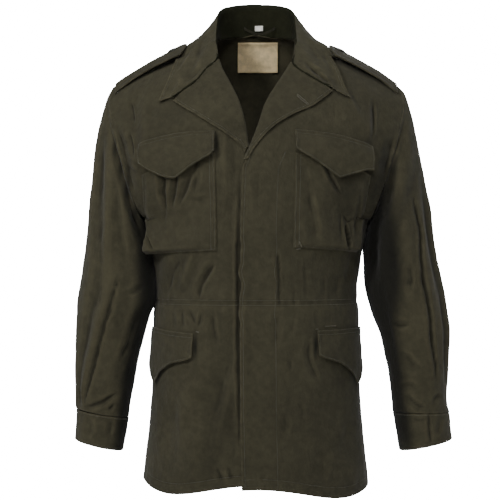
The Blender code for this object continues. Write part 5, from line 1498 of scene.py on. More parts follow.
# ---- stitches ----
STITCH_PITCH = 3.0
STITCH_LENGTH = 2.3
STITCH_WIDE = 0.62
STITCH_HIGH = 0.42
STITCH_RISE = 0.05  # how far a stitch stands off the cloth
SATIN_SPACING = {"pitch": 0.75, "length": 0.6}
SATIN_RISE, SATIN_WIDE, SATIN_HIGH = 0.15, 0.8, 0.6
SEEN_POINTS = 24  # along a line given as seen from the front
BUTTONHOLE_HALF = 1.2
TACK_WIDE = 2.2
LAPEL_BUTTONHOLE = ("lapel_left", (64, -101), (81, -116))
# Bar tacks: the piece, and where the tack begins and ends as seen from the front.
BAR_TACKS = (
    ("front_left", (92, -466), (96, -466)),
    ("front_right", (-94, -470), (-89, -471)),
    ("chest_pocket_left", (66, -330), (70, -338)),
    ("chest_pocket_left", (62, -342), (69, -341)),
    ("front_left", (107, -462), (125, -462)),
    ("front_left", (107, -472), (125, -472)),
)
# One stitch: a low lozenge, as shares along it, across it and up.
STITCH_SHAPE = np.array([(-0.5, 0, -0.6), (-0.25, -0.5, 0.1), (-0.25, 0, 1), (-0.25, 0.5, 0.1),
                         (0.25, -0.5, 0.1), (0.25, 0, 1), (0.25, 0.5, 0.1), (0.5, 0, -0.6)])
STITCH_FACES = np.array([(0, 1, 2, 2), (0, 2, 3, 3), (1, 4, 5, 2), (2, 5, 6, 3), (4, 7, 5, 5), (5, 7, 6, 6),
                         (0, 3, 1, 1), (1, 3, 6, 4), (4, 6, 7, 7)])


def dashes(centres, ways, ups, wide, high):
    """A stitch at each centre: the shape scaled along its way, across and up. Points and faces."""
    lengths = np.linalg.norm(ways, axis=-1, keepdims=True)
    way = unit(ways)
    side = unit(np.cross(ups, way))
    up = np.cross(way, side)
    shape = STITCH_SHAPE
    points = (centres[:, None] + way[:, None] * (shape[:, 0:1] * lengths[:, None])
              + side[:, None] * shape[:, 1:2] * wide + up[:, None] * shape[:, 2:3] * high)
    faces = STITCH_FACES[None] + 8 * np.arange(len(centres))[:, None, None]
    return points.reshape(-1, 3), [tuple(dict.fromkeys(face)) for face in faces.reshape(-1, 4).tolist()]


def grid_line(name, side, inset, begin=0.0, end=1.0):
    """Points and normals of a line that runs inside one edge of a piece's grid, inset in from it.

    Along each grid line that leaves the edge, the place is read where the length reaches the inset.
    """
    points, out = SURFACES[name]
    if side in ("end", "last"):
        points, out = points[::-1, ::-1], out[::-1, ::-1]
    if side in ("start", "end"):
        points, out = points.swapaxes(0, 1), out.swapaxes(0, 1)
    steps = np.linalg.norm(np.diff(points, axis=0), axis=-1).cumsum(0)
    low = np.minimum((steps < inset).sum(0), len(points) - 2)
    columns = np.arange(points.shape[1])
    before = np.where(low > 0, steps[np.maximum(low - 1, 0), columns], 0.0)
    share = np.clip((inset - before) / np.maximum(steps[low, columns] - before, 1e-6), 0, 1)[:, None]
    line = points[low, columns] * (1 - share) + points[low + 1, columns] * share
    ups = unit(out[low, columns] * (1 - share) + out[low + 1, columns] * share)
    kept = slice(int(begin * len(line)), max(int(end * len(line)), 2))
    return line[kept], ups[kept]


def stitch_row(line, ups, pitch, length):
    """Centres, ways and normals of stitches spaced evenly along a line."""
    lengths = np.concatenate([[0], np.cumsum(np.linalg.norm(np.diff(line, axis=0), axis=1))])
    count = max(int(lengths[-1] / pitch), 1)
    at = (np.arange(count) + 0.5) * pitch
    centre, ahead, behind, up = (
        np.stack([np.interp(place, lengths, values[:, k]) for k in range(3)], -1)
        for place, values in ((at, line), (at + length / 2, line), (at - length / 2, line), (at, ups)))
    return centre, ahead - behind, unit(up)


def stitched(name, lines, pitch):
    """One object of all the stitches along some lines, pitch apart."""
    rows = [stitch_row(line, ups, pitch, STITCH_LENGTH) for line, ups in lines]
    centres, ways, ups = (np.concatenate([row[k] for row in rows]) for k in range(3))
    thread = dashes(centres + ups * STITCH_RISE, ways, ups, STITCH_WIDE, STITCH_HIGH)
    made = mesh_object(name, *thread, thread_material())
    return made


def seen_line(name, start, stop):
    """A straight line between two places seen from the front, laid on the side of a piece that faces it:
    each place takes its depth from the tangent plane of the grid point nearest to it."""
    points, out = SURFACES[name]
    ahead = out[..., 1] < -SEEN_AHEAD
    points, out = points[ahead], out[ahead]
    wanted = np.linspace(start, stop, SEEN_POINTS)
    nearest = ((points[None, :, ::2] - wanted[:, None]) ** 2).sum(-1).argmin(1)
    near, ups = points[nearest], out[nearest]
    line = near.copy()
    line[:, ::2] = wanted
    line[:, 1] -= ((wanted - near[:, ::2]) * ups[:, ::2]).sum(1) / ups[:, 1]
    return line, ups


def buttonhole_lines(name, start, stop):
    """Satin lines on both sides of a slit and across its two ends."""
    start, stop = np.array(start, float), np.array(stop, float)
    way = unit(stop - start)
    side = np.array([-way[1], way[0]]) * BUTTONHOLE_HALF
    sides = [(start + side, stop + side), (start - side, stop - side)]
    ends = [(start + side, start - side), (stop + side, stop - side)]
    return [satin_line(*seen_line(name, *pair), BUTTONHOLE_HALF * 1.6) for pair in sides + ends]


def satin_line(line, ups, wide):
    """Close stitches laid across a line, for a buttonhole or bar tack: the line's stitches turned."""
    centres, ways, ups = stitch_row(line, ups, **SATIN_SPACING)
    return centres, unit(np.cross(ups, ways)) * wide, ups


# ---- shader groups ----
def shader_group(name, inputs, outputs):
    """A new node group with its sockets: (name, type, default or None)."""
    made = bpy.data.node_groups.new(name, "ShaderNodeTree")
    for label, kind, default in inputs:
        socket = made.interface.new_socket(name=label, in_out="INPUT", socket_type=kind)
        if default is not None:
            socket.default_value = default
    for label, kind in outputs:
        made.interface.new_socket(name=label, in_out="OUTPUT", socket_type=kind)
    return made, made.nodes.new("NodeGroupInput"), made.nodes.new("NodeGroupOutput")


def node(tree, kind, links=(), **values):
    """A node with its settings, and its inputs linked or set: links is (input, socket or value)."""
    made = tree.nodes.new(kind)
    for key, value in values.items():
        setattr(made, key, value)
    for key, source in links:
        if isinstance(source, bpy.types.NodeSocket):
            tree.links.new(source, made.inputs[key])
        else:
            made.inputs[key].default_value = source
    return made


def maths(tree, operation, first, second=None, third=None):
    """The output of a Math node."""
    links = [(k, value) for k, value in enumerate((first, second, third)) if value is not None]
    return node(tree, "ShaderNodeMath", links, operation=operation).outputs[0]


def times(tree, first, second):
    """The output of a Math node that multiplies."""
    return maths(tree, "MULTIPLY", first, second)


def ramp(tree, value, low, high, first=0.0, last=1.0):
    """value carried smoothly from low..high to first..last."""
    links = ((0, value), (1, low), (2, high), (3, first), (4, last))
    return node(tree, "ShaderNodeMapRange", links, interpolation_type="SMOOTHSTEP").outputs[0]


def mixed(tree, share, first, second, blend="MIX"):
    """Two colours mixed by a share."""
    made = node(tree, "ShaderNodeMix", data_type="RGBA", blend_type=blend)
    for key, source in ((0, share), (6, first), (7, second)):
        if isinstance(source, bpy.types.NodeSocket):
            tree.links.new(source, made.inputs[key])
        else:
            made.inputs[key].default_value = source
    return made.outputs[2]


def tinted(tree, colour, tint):
    """A colour multiplied by another."""
    return mixed(tree, 1.0, colour, (*tint, 1), "MULTIPLY")


def noise_at(tree, vector, scale, detail=2.0, rough=0.5):
    """The value of a noise at scale."""
    links = (("Vector", vector), ("Scale", scale), ("Detail", detail), ("Roughness", rough))
    return node(tree, "ShaderNodeTexNoise", links).outputs["Fac"]


def stretched(tree, vector, scale):
    """A vector scaled by a different amount each way."""
    return node(tree, "ShaderNodeMapping", (("Vector", vector), ("Scale", scale))).outputs[0]


def sateen_weave_group():
    """Height of the sateen's weave: diagonal floats, slubbed warp threads and a soft nap."""
    made, given, result = shader_group(
        "Sateen weave", (("Vector", "NodeSocketVector", None), ("Threads", "NodeSocketFloat", 900.0),
                         ("Slub", "NodeSocketFloat", 0.5)), (("Height", "NodeSocketFloat"),))
    apart = node(made, "ShaderNodeSeparateXYZ", ((0, given.outputs["Vector"]),))
    across = times(made, apart.outputs[0], given.outputs["Threads"])
    down = times(made, apart.outputs[1], given.outputs["Threads"])
    slant = maths(made, "ADD", across, times(made, down, 0.45))
    floats = times(made, maths(made, "SINE", times(made, slant, 6.2832)), 0.5)
    warp = noise_at(made, stretched(made, given.outputs["Vector"], (1100.0, 150.0, 1.0)), 1.0, 2.0)
    nap = noise_at(made, given.outputs["Vector"], 420.0, 3.0, 0.6)
    slub = times(made, warp, given.outputs["Slub"])
    total = maths(made, "ADD", maths(made, "ADD", times(made, floats, 0.25), slub), times(made, nap, 0.5))
    made.links.new(total, result.inputs["Height"])
    return made


def cloth_tone_group():
    """Colour and roughness of washed cloth: mottled, painted shade in creases and shaded parts, paler on
    worn ridges and edges.
    """
    made, given, result = shader_group(
        "Cloth tone", (("Object", "NodeSocketVector", None),
                       ("Colour", "NodeSocketColor", (0.1, 0.1, 0.1, 1)),
                       ("Fold", "NodeSocketFloat", 0.0), ("Edge", "NodeSocketFloat", 50.0),
                       ("Wear", "NodeSocketFloat", 0.5), ("Shelter", "NodeSocketFloat", 0.0)),
        (("Colour", "NodeSocketColor"), ("Roughness", "NodeSocketFloat")))
    place, colour = given.outputs["Object"], given.outputs["Colour"]
    broad = ramp(made, noise_at(made, place, 16.0, 3.0), 0.3, 0.7)
    fine = ramp(made, noise_at(made, place, 95.0, 4.0, 0.65), 0.3, 0.72)
    speck = ramp(made, noise_at(made, place, 620.0, 2.0, 0.6), 0.35, 0.7)
    darker = tinted(made, colour, (0.74, 0.74, 0.72))
    paler = tinted(made, colour, (1.25, 1.24, 1.20))
    tone = mixed(made, maths(made, "MULTIPLY_ADD", broad, 0.26, times(made, fine, 0.52)),
                 darker, paler)
    tone = mixed(made, times(made, speck, 0.22), tone, tinted(made, tone, (0.72, 0.72, 0.70)))
    # Painted shade: the colour darkens in the grooves of the creases, where shade falls.
    groove = times(made, ramp(made, given.outputs["Fold"], -1.6, -0.1, 1.0, 0.0), 0.6)
    tone = mixed(made, groove, tone, tinted(made, colour, (0.22, 0.21, 0.20)))
    ridge = ramp(made, given.outputs["Fold"], 0.15, 1.2)
    rim = times(made, ramp(made, given.outputs["Edge"], 0.3, 3.2, 1.0, 0.0), fine)
    worn = times(made, maths(made, "ADD", times(made, ridge, 0.5), rim),
                 given.outputs["Wear"])
    tone = mixed(made, worn, tone, tinted(made, colour, (1.75, 1.68, 1.55)))
    # Painted shade: the colour darkens nearly to black where the mesh's shade value is high.
    kept = times(made, given.outputs["Shelter"], 0.9)
    tone = mixed(made, kept, tone, tinted(made, colour, (0.05, 0.055, 0.06)))
    made.links.new(tone, result.inputs["Colour"])
    made.links.new(maths(made, "SUBTRACT", 0.93, times(made, worn, 0.12)),
                   result.inputs["Roughness"])
    return made


def shared(name, make):
    """A node group or material by name, made once."""
    for store in (bpy.data.node_groups, bpy.data.materials):
        if name in store:
            return store[name]
    return make()


def value_of(tree, name):
    """A named value of the mesh."""
    return node(tree, "ShaderNodeAttribute", attribute_name=name).outputs["Fac"]


def plain_material(name, roughness, sheen=0.0):
    """A material with its Principled shader, and its node tree."""
    made = bpy.data.materials.new(name)
    made.use_nodes = True
    shader = made.node_tree.nodes["Principled BSDF"]
    shader.inputs["Roughness"].default_value = roughness
    shader.inputs["Sheen Weight"].default_value = sheen
    shader.inputs["Sheen Roughness"].default_value = 0.5
    return made, made.node_tree, shader


def woven_material(name, colour, wear, weave_size, weave_depth, sheen, specular):
    """Woven cloth: the tone group for colour and roughness, the weave group and fine ruckles for bump."""
    made, tree, shader = plain_material(name, 0.9, sheen)
    shader.inputs["Specular IOR Level"].default_value = specular
    place = node(tree, "ShaderNodeTexCoord")
    tone = node(tree, "ShaderNodeGroup", node_tree=shared("Cloth tone", cloth_tone_group))
    tree.links.new(place.outputs["Object"], tone.inputs["Object"])
    tree.links.new(value_of(tree, "fold"), tone.inputs["Fold"])
    tree.links.new(value_of(tree, "edge"), tone.inputs["Edge"])
    # The mesh's painted shade value darkens the colour where shade falls.
    tree.links.new(value_of(tree, "shelter"), tone.inputs["Shelter"])
    tone.inputs["Colour"].default_value = (*colour, 1)
    tone.inputs["Wear"].default_value = wear
    tree.links.new(tone.outputs["Colour"], shader.inputs["Base Color"])
    tree.links.new(tone.outputs["Roughness"], shader.inputs["Roughness"])
    weave = node(tree, "ShaderNodeGroup", node_tree=shared("Sateen weave", sateen_weave_group))
    tree.links.new(place.outputs["UV"], weave.inputs["Vector"])
    weave.inputs["Threads"].default_value = weave_size
    ruckle = noise_at(tree, stretched(tree, place.outputs["Object"], (120.0, 120.0, 75.0)), 1.0, 4.0, 0.6)
    near_edge = ramp(tree, value_of(tree, "edge"), 1.0, 9.0, 2.6, 1.0)
    height = maths(tree, "MULTIPLY_ADD", times(tree, ruckle, near_edge), 0.0013,
                   times(tree, weave.outputs["Height"], weave_depth))
    bump = node(tree, "ShaderNodeBump", (("Height", height), ("Strength", 0.9), ("Distance", 1.0)))
    tree.links.new(bump.outputs[0], shader.inputs["Normal"])
    return made


# Woven cloths: title, colour's setting and how much paler it is, wear (None is the user's own), threads
# in a metre, depth of the weave, sheen and gloss.
WOVEN = {
    "cloth": ("Olive cotton sateen", "cloth_colour", 1.0, None, 1500.0, 0.00016, 0.07, 0.25),
    # The collar's colour is 1.16 times paler as painted light, for the light from above that falls on it.
    "collar": ("Olive cotton, collar", "cloth_colour", 1.16, None, 1500.0, 0.00016, 0.07, 0.25),
    "inside": ("Olive cotton, inside", "inside_colour", 1.0, 0.1, 1500.0, 0.00012, 0.02, 0.1),
    "tape": ("Olive tape", "tape_colour", 1.0, 0.3, 900.0, 0.0003, 0.1, 0.25),
    "label": ("Tan label weave", "label_colour", 1.0, 0.15, 1300.0, 0.0002, 0.1, 0.25),
    "tag": ("White tag satin", "tag_colour", 1.0, 0.1, 2000.0, 0.0001, 0.1, 0.25),
}


def cloth_material(kind="cloth"):
    """The woven material of one row of WOVEN, made once."""
    title, colour, paler, wear, *finish = WOVEN[kind]
    setting = bpy.context.scene.field_jacket
    colour = [paler * channel for channel in getattr(setting, colour)]
    wear = setting.wear if wear is None else wear
    return shared(title, lambda: woven_material(title, colour, wear, *finish))


def thread_material(name="Olive thread", brightness=1.0):
    """Olive sewing thread, a little paler than the cloth, with its twist as bump."""
    def make():
        made, tree, shader = plain_material(name, 0.75, 0.2)
        place = node(tree, "ShaderNodeTexCoord").outputs["Object"]
        fade = ramp(tree, noise_at(tree, place, 60.0, 2.0), 0.3, 0.7)
        colour = [brightness * c for c in bpy.context.scene.field_jacket.thread_colour]
        pale = (*colour, 1)
        dull = (*(0.72 * c for c in colour), 1)
        tree.links.new(mixed(tree, fade, dull, pale), shader.inputs["Base Color"])
        twist = noise_at(tree, place, 2600.0, 1.0)
        bump = node(tree, "ShaderNodeBump", (("Height", twist), ("Strength", 0.3), ("Distance", 0.0002)))
        tree.links.new(bump.outputs[0], shader.inputs["Normal"])
        return made
    return shared(name, make)


def button_material():
    """Moulded dark olive plastic: faint cloudiness and fine scratches."""
    def make():
        made, tree, shader = plain_material("Olive button plastic", 0.42)
        place = node(tree, "ShaderNodeTexCoord").outputs["Object"]
        colour = bpy.context.scene.field_jacket.button_colour
        cloud = ramp(tree, noise_at(tree, place, 220.0, 3.0), 0.3, 0.7)
        dull, pale = ((*(share * c for c in colour), 1) for share in (0.75, 1.2))
        tree.links.new(mixed(tree, cloud, dull, pale), shader.inputs["Base Color"])
        scratch = noise_at(tree, stretched(tree, place, (300.0, 2400.0, 900.0)), 1.0, 2.0)
        tree.links.new(ramp(tree, scratch, 0.3, 0.7, 0.34, 0.58), shader.inputs["Roughness"])
        bump = node(tree, "ShaderNodeBump", (("Height", scratch), ("Strength", 0.2), ("Distance", 0.0002)))
        tree.links.new(bump.outputs[0], shader.inputs["Normal"])
        return made
    return shared("Olive button plastic", make)


# ---- stage ----
CAMERA_PLACE = (-0.010, -2.6, -0.343)
CAMERA_LENS = 36 * 2.6 / 0.81  # the frame is 0.81 m wide, 2.6 m away
FLOOR_Z = -0.80
FLOOR_RADIUS = 5.5
SWEEP_RADIUS = 1.5
WALL_TOP = 4.0
# Each light: place, size, watts and colour. All of them point at the jacket's middle.
LIGHTS = {
    "key_softbox": ((-1.95, -2.4, 1.35), 0.5, 60.0, (1.0, 0.985, 0.96)),
    "front_softbox": ((0.0, -2.9, 1.4), 0.7, 27.0, (1.0, 1.0, 1.0)),
    "top_softbox": ((0.2, -1.4, 2.4), 0.8, 26.0, (1.0, 1.0, 1.0)),
    "back_softbox": ((0.9, 2.9, 1.3), 1.2, 40.0, (1.0, 1.0, 1.0)),
    "rim_softbox": ((2.6, 1.2, 0.5), 0.8, 14.0, (1.0, 1.0, 1.0)),
}
LIGHT_AIM = (0.0, 0.0, -0.34)


def backdrop():
    """A pale floor that sweeps up into a wall all round: a profile of radius and height, turned."""
    bend = np.linspace(0, np.pi / 2, 16)
    radius = np.concatenate([[0.0, 1.5, 3.0], FLOOR_RADIUS + SWEEP_RADIUS * np.sin(bend),
                             [FLOOR_RADIUS + SWEEP_RADIUS]])
    height = np.concatenate([[0, 0, 0], SWEEP_RADIUS * (1 - np.cos(bend)), [WALL_TOP]]) + FLOOR_Z
    turn = np.linspace(0, 2 * np.pi, 96, endpoint=False)
    points = np.stack([radius[:, None] * np.cos(turn), radius[:, None] * np.sin(turn),
                       height[:, None] + 0 * turn], -1)
    mesh = bpy.data.meshes.new("floor_sweep")
    mesh.from_pydata(points.reshape(-1, 3).tolist(), [], grid_faces(len(radius), 96, True).tolist())
    mesh.shade_smooth()
    made = bpy.data.objects.new("floor_sweep", mesh)
    bpy.context.scene.collection.objects.link(made)
    paint, tree, shader = plain_material("Pale studio paper", 0.95)
    shader.inputs["Base Color"].default_value = (0.86, 0.86, 0.86, 1)
    glow = node(tree, "ShaderNodeEmission", (("Color", (1.0, 1.0, 1.0, 1)), ("Strength", 26.0)))
    seen = node(tree, "ShaderNodeLightPath").outputs["Is Camera Ray"]
    both = node(tree, "ShaderNodeMixShader", ((0, seen),))
    tree.links.new(shader.outputs[0], both.inputs[1])
    tree.links.new(glow.outputs[0], both.inputs[2])
    tree.links.new(both.outputs[0], tree.nodes["Material Output"].inputs["Surface"])
    made.data.materials.append(paint)


def softbox(name, place, size, watts, colour):
    """A square area light that looks at LIGHT_AIM."""
    lamp = bpy.data.lights.new(name, "AREA")
    lamp.size = size
    lamp.energy = watts
    lamp.color = colour
    made = bpy.data.objects.new(name, lamp)
    bpy.context.scene.collection.objects.link(made)
    made.location = place
    made.rotation_euler = (Vector(LIGHT_AIM) - Vector(place)).to_track_quat("-Z", "Y").to_euler()


def studio_world():
    """Soft even light from all round."""
    world = bpy.data.worlds.new("Soft studio")
    bpy.context.scene.world = world
    world.use_nodes = True
    sky = world.node_tree.nodes["Background"]
    sky.inputs["Color"].default_value = (1.0, 1.0, 1.0, 1)
    sky.inputs["Strength"].default_value = 0.04


def camera():
    """Level camera in front of the jacket."""
    lens = bpy.data.cameras.new("camera")
    lens.sensor_width = 36
    lens.lens = CAMERA_LENS
    made = bpy.data.objects.new("camera", lens)
    bpy.context.scene.collection.objects.link(made)
    made.location = CAMERA_PLACE
    made.rotation_euler = (math.pi / 2, 0, 0)
    bpy.context.scene.camera = made


# ---- settings and operators ----
class JacketSettings(bpy.types.PropertyGroup):
    """Sizes and colours that a user would change."""

    cloth_thickness: bpy.props.FloatProperty(
        name="Cloth thickness", description="Wall of the body and sleeves", default=CLOTH * MM,
        min=0.0005, max=0.003, subtype="DISTANCE", unit="LENGTH")
    stitch_pitch: bpy.props.FloatProperty(
        name="Stitch pitch", description="From one stitch to the next", default=STITCH_PITCH * MM,
        min=0.001, max=0.01, subtype="DISTANCE", unit="LENGTH")
    wear: bpy.props.FloatProperty(
        name="Wear", description="How far ridges and edges have faded", default=0.55, min=0.0, max=1.0,
        subtype="FACTOR")
    cloth_colour: bpy.props.FloatVectorProperty(
        name="Cloth", description="Colour of the cotton", default=(0.0445, 0.0412, 0.0245), subtype="COLOR")
    thread_colour: bpy.props.FloatVectorProperty(
        name="Thread", description="Colour of the stitches", default=(0.056, 0.052, 0.032), subtype="COLOR")
    button_colour: bpy.props.FloatVectorProperty(
        name="Buttons", description="Colour of the buttons", default=(0.020, 0.018, 0.010), subtype="COLOR")
    inside_colour: bpy.props.FloatVectorProperty(
        name="Inside", description="Colour of the cotton's inner face", default=(0.0155, 0.0165, 0.0085),
        subtype="COLOR")
    tape_colour: bpy.props.FloatVectorProperty(
        name="Tape", description="Colour of the hanger loop", default=(0.017, 0.016, 0.009),
        subtype="COLOR")
    label_colour: bpy.props.FloatVectorProperty(
        name="Label", description="Colour of the neck label", default=(0.86, 0.69, 0.415), subtype="COLOR")
    tag_colour: bpy.props.FloatVectorProperty(
        name="Tag", description="Colour of the size tag", default=(0.82, 0.82, 0.79), subtype="COLOR")


# Rows and columns of each piece's grid. A sleeve's are the rings of its cap and of its arm, and the points
# of half the armhole.
GRIDS = {
    "front": (270, 124), "back": (250, 70), "sleeve": (84, 90, 54), "cuff": (26, 130), "lapel": (84, 56),
    "collar": (240, 74), "pocket": (100, 72), "chest_flap": (34, 84), "hip_flap": (34, 100),
    "strap": (56, 30),
}
# Flat width, length and area of each cut piece, in metres and square metres.
CUTS = {
    "front": (0.30, 0.76, 0.19), "back": (0.56, 0.76, 0.36), "sleeve": (0.40, 0.54, 0.16),
    "cuff": (0.28, 0.053, 0.0145), "lapel": (0.11, 0.16, 0.0112), "collar": (0.52, 0.12, 0.051),
    "pocket": (0.135, 0.17, 0.021), "chest_flap": (0.135, 0.08, 0.0075),
    "hip_flap": (0.14, 0.08, 0.0088), "strap": (0.052, 0.14, 0.0071),
    "label": (0.068, 0.05, None), "tag": (0.0135, 0.011, None),
}
SIDES = tuple(SIDE_NAMES.values())
FLAP_ROWS = (("first", 1.6), ("first", 7.5), ("start", 2.5), ("end", 2.5), ("last", 2.5))
POCKET_ROWS = (("start", 2.5), ("end", 2.5), ("last", 2.5), ("start", 8.5))


def both_sides(piece, rows):
    """Rows of stitches for a pair of pieces, from the edge and the inset of each."""
    return tuple((f"{piece}_{name}", *row) for name in SIDES for row in rows)


# Rows of stitches by object: piece, edge of its grid, inset, and where the row begins and ends on it.
STITCH_ROWS = {
    "hem_stitches": tuple((name, "first", HEM_DEPTH) for name in ("front_left", "front_right", "back")),
    "fly_stitches": (("front_left", "start", 5.5, 0.0, 0.76), ("front_left", "start", 56.0, 0.0, 0.72)),
    "shoulder_stitches": both_sides("front", (("last", 4.0),)),
    "armhole_stitches": both_sides("front", (("end", 5.0, 0.58),)),
    "pocket_stitches": both_sides("chest_pocket", POCKET_ROWS),
    "chest_flap_stitches": both_sides("chest_flap", FLAP_ROWS),
    "hip_flap_stitches": both_sides("hip_flap", FLAP_ROWS),
    "strap_stitches": both_sides("shoulder_strap", (("start", 3.5), ("end", 3.5), ("last", 3.5))),
    "cuff_stitches": both_sides("cuff", (("first", 2.5), ("last", 2.5), ("end", 2.5))),
    "collar_stitches": (("collar", "end", 5.0), ("collar", "first", 5.0, 0.5),
                        ("collar", "last", 5.0, 0.0, 0.5)),
    "lapel_stitches": both_sides("lapel", (("end", 5.0),)),
}


class JacketOperator:
    """What every operator of the jacket shares."""

    bl_options = {"REGISTER", "UNDO"}


def sewn_piece(name, points, cut, thick=CLOTH, material=None, kind="cloth", held="stretched",
               rests_on=(), **shape):
    """A cloth piece that stands for its solid; cut is the flat width, length and area in metres.

    A tape under 10 mm wide is given no cut.
    """
    made = cloth_wall(name, points, thick, material or cloth_material(), **shape)
    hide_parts(name)
    return made


def waist_lines():
    """The two rows of the waist casing: on each panel, the row of the grid nearest each height."""
    lines = []
    for name in ("front_left", "front_right", "back"):
        points, out = SURFACES[name]
        for height in WAIST_ROWS:
            z = points[..., 2]
            low = np.clip((z < height).sum(0) - 1, 0, len(z) - 2)
            columns = np.arange(points.shape[1])
            share = ((height - z[low, columns]) / (z[low + 1, columns] - z[low, columns]))[:, None]
            lines.append((points[low, columns] * (1 - share) + points[low + 1, columns] * share,
                          unit(out[low, columns])))
    return lines


class JACKET_OT_fronts(JacketOperator, bpy.types.Operator):
    """Both fronts, the left one lapping over the right one at the fly"""

    bl_idname = "jacket.fronts"
    bl_label = "Fronts"

    def execute(self, context):
        thick = context.scene.field_jacket.cloth_thickness / MM
        for half, edge, painted_shade_table in ((FRONT_LEFT, wavy_edge(LEFT_EDGE, *FLY_WAVES), LEFT_FRONT_PAINTED_SHADE),
                                  (FRONT_RIGHT, RIGHT_EDGE, RIGHT_FRONT_PAINTED_SHADE)):
            grid = front_grid(half, edge, *GRIDS["front"])
            sewn_piece(f"front_{SIDE_NAMES[half.side]}", grid, CUTS["front"], thick,
                       # Each front's colour is darkened by the painted shade patches of its table.
                       shelter=painted_shade_patches(grid, painted_shade_table))
        return {"FINISHED"}


class JACKET_OT_back(JacketOperator, bpy.types.Operator):
    """The back, in one panel"""

    bl_idname = "jacket.back"
    bl_label = "Back"

    def execute(self, context):
        thick = context.scene.field_jacket.cloth_thickness / MM
        sewn_piece("back", back_grid(*GRIDS["back"]), CUTS["back"], thick)
        return {"FINISHED"}


class JACKET_OT_sleeves(JacketOperator, bpy.types.Operator):
    """Set-in sleeves with their creases"""

    bl_idname = "jacket.sleeves"
    bl_label = "Sleeves"

    def execute(self, context):
        thick = context.scene.field_jacket.cloth_thickness / MM
        for side, rows, folds, creases in (
                (1, LEFT_SLEEVE_ROWS, LEFT_SLEEVE_FOLDS, LEFT_SLEEVE_CREASES),
                (-1, RIGHT_SLEEVE_ROWS, RIGHT_SLEEVE_FOLDS, RIGHT_SLEEVE_CREASES)):
            grid = sleeve_grid(side, rows, folds, creases, *GRIDS["sleeve"])
            sewn_piece(f"sleeve_{SIDE_NAMES[side]}", grid, CUTS["sleeve"], thick, ring=True,
                       # The sleeve's side towards the body is darkened as painted shade.
                       shelter=sleeve_painted_shade(side, grid))
        return {"FINISHED"}


class JACKET_OT_cuffs(JacketOperator, bpy.types.Operator):
    """Cuff bands whose end laps over their start"""

    bl_idname = "jacket.cuffs"
    bl_label = "Cuffs"

    def execute(self, context):
        for side, rows in ((1, LEFT_CUFF_ROWS), (-1, RIGHT_CUFF_ROWS)):
            grid = cuff_grid(side, rows, *GRIDS["cuff"])
            sewn_piece(f"cuff_{SIDE_NAMES[side]}", grid, CUTS["cuff"], CUFF_CLOTH, flip=side < 0,
                       # The cuff's side towards the body is darkened as painted shade too.
                       rounded=0.7, shelter=sleeve_painted_shade(side, grid))
        return {"FINISHED"}


class JACKET_OT_lapels(JacketOperator, bpy.types.Operator):
    """Lapels with the facing that turns in round the roll line"""

    bl_idname = "jacket.lapels"
    bl_label = "Lapels"

    def execute(self, context):
        for half, edge, outline, gorge, break_z in (
                (FRONT_LEFT, LEFT_EDGE, LEFT_LAPEL_EDGE, LEFT_GORGE, LEFT_BREAK_Z),
                (FRONT_RIGHT, RIGHT_EDGE, RIGHT_LAPEL_EDGE, RIGHT_GORGE, RIGHT_BREAK_Z)):
            grid = lapel_grid(half, edge, outline, gorge, break_z, *GRIDS["lapel"])
            sewn_piece(f"lapel_{SIDE_NAMES[half.side]}", grid, CUTS["lapel"], flip=half.side < 0,
                       held="folded", rounded=0.5)
        return {"FINISHED"}


class JACKET_OT_collar(JacketOperator, bpy.types.Operator):
    """The collar: stand, fold and fall in one piece"""

    bl_idname = "jacket.collar"
    bl_label = "Collar"

    def execute(self, context):
        sewn_piece("collar", collar_grid(*GRIDS["collar"]), CUTS["collar"], COLLAR_CLOTH,
                   cloth_material("collar"), flip=True, held="folded", rounded=0.7,
                   inside=cloth_material("inside"), inner_columns=STAND_COLUMNS,
                   inner_share=COLLAR_STAND_SHARE)
        return {"FINISHED"}


class JACKET_OT_chest_pockets(JacketOperator, bpy.types.Operator):
    """Chest pockets with their pointed flaps"""

    bl_idname = "jacket.chest_pockets"
    bl_label = "Chest Pockets"

    def execute(self, context):
        for half, pocket, creases, flap, seed in (
                (FRONT_LEFT, LEFT_POCKET, LEFT_POCKET_CREASES, LEFT_CHEST_FLAP, 200),
                (FRONT_RIGHT, RIGHT_POCKET, RIGHT_POCKET_CREASES, RIGHT_CHEST_FLAP, 210)):
            name = SIDE_NAMES[half.side]
            grid = pocket_grid(half, pocket, creases, *GRIDS["pocket"])
            sewn_piece(f"chest_pocket_{name}", grid, CUTS["pocket"], rounded=0.4,
                       # The pocket's colour is darkened by painted shade patches.
                       shelter=painted_shade_patches(grid, POCKET_PAINTED_SHADE))
            grid = chest_flap_grid(half, flap, *GRIDS["chest_flap"], seed)
            sewn_piece(f"chest_flap_{name}", grid, CUTS["chest_flap"], flip=half.side > 0, rounded=0.5)
        return {"FINISHED"}


class JACKET_OT_hip_flaps(JacketOperator, bpy.types.Operator):
    """Flaps of the hip pockets, which run round to the side"""

    bl_idname = "jacket.hip_flaps"
    bl_label = "Hip Flaps"

    def execute(self, context):
        for half, outline, seed in ((FRONT_LEFT, LEFT_HIP_FLAP, 220), (FRONT_RIGHT, RIGHT_HIP_FLAP, 230)):
            grid = hip_flap_grid(half, outline, *GRIDS["hip_flap"], seed)
            sewn_piece(f"hip_flap_{SIDE_NAMES[half.side]}", grid, CUTS["hip_flap"], flip=half.side > 0,
                       rounded=0.5)
        return {"FINISHED"}


class JACKET_OT_straps(JacketOperator, bpy.types.Operator):
    """Shoulder straps, raised off the shoulder"""

    bl_idname = "jacket.straps"
    bl_label = "Shoulder Straps"

    def execute(self, context):
        for side, name in SIDE_NAMES.items():
            grid = strap_grid(side, *GRIDS["strap"])
            sewn_piece(f"shoulder_strap_{name}", grid, CUTS["strap"], STRAP_CLOTH)
        return {"FINISHED"}


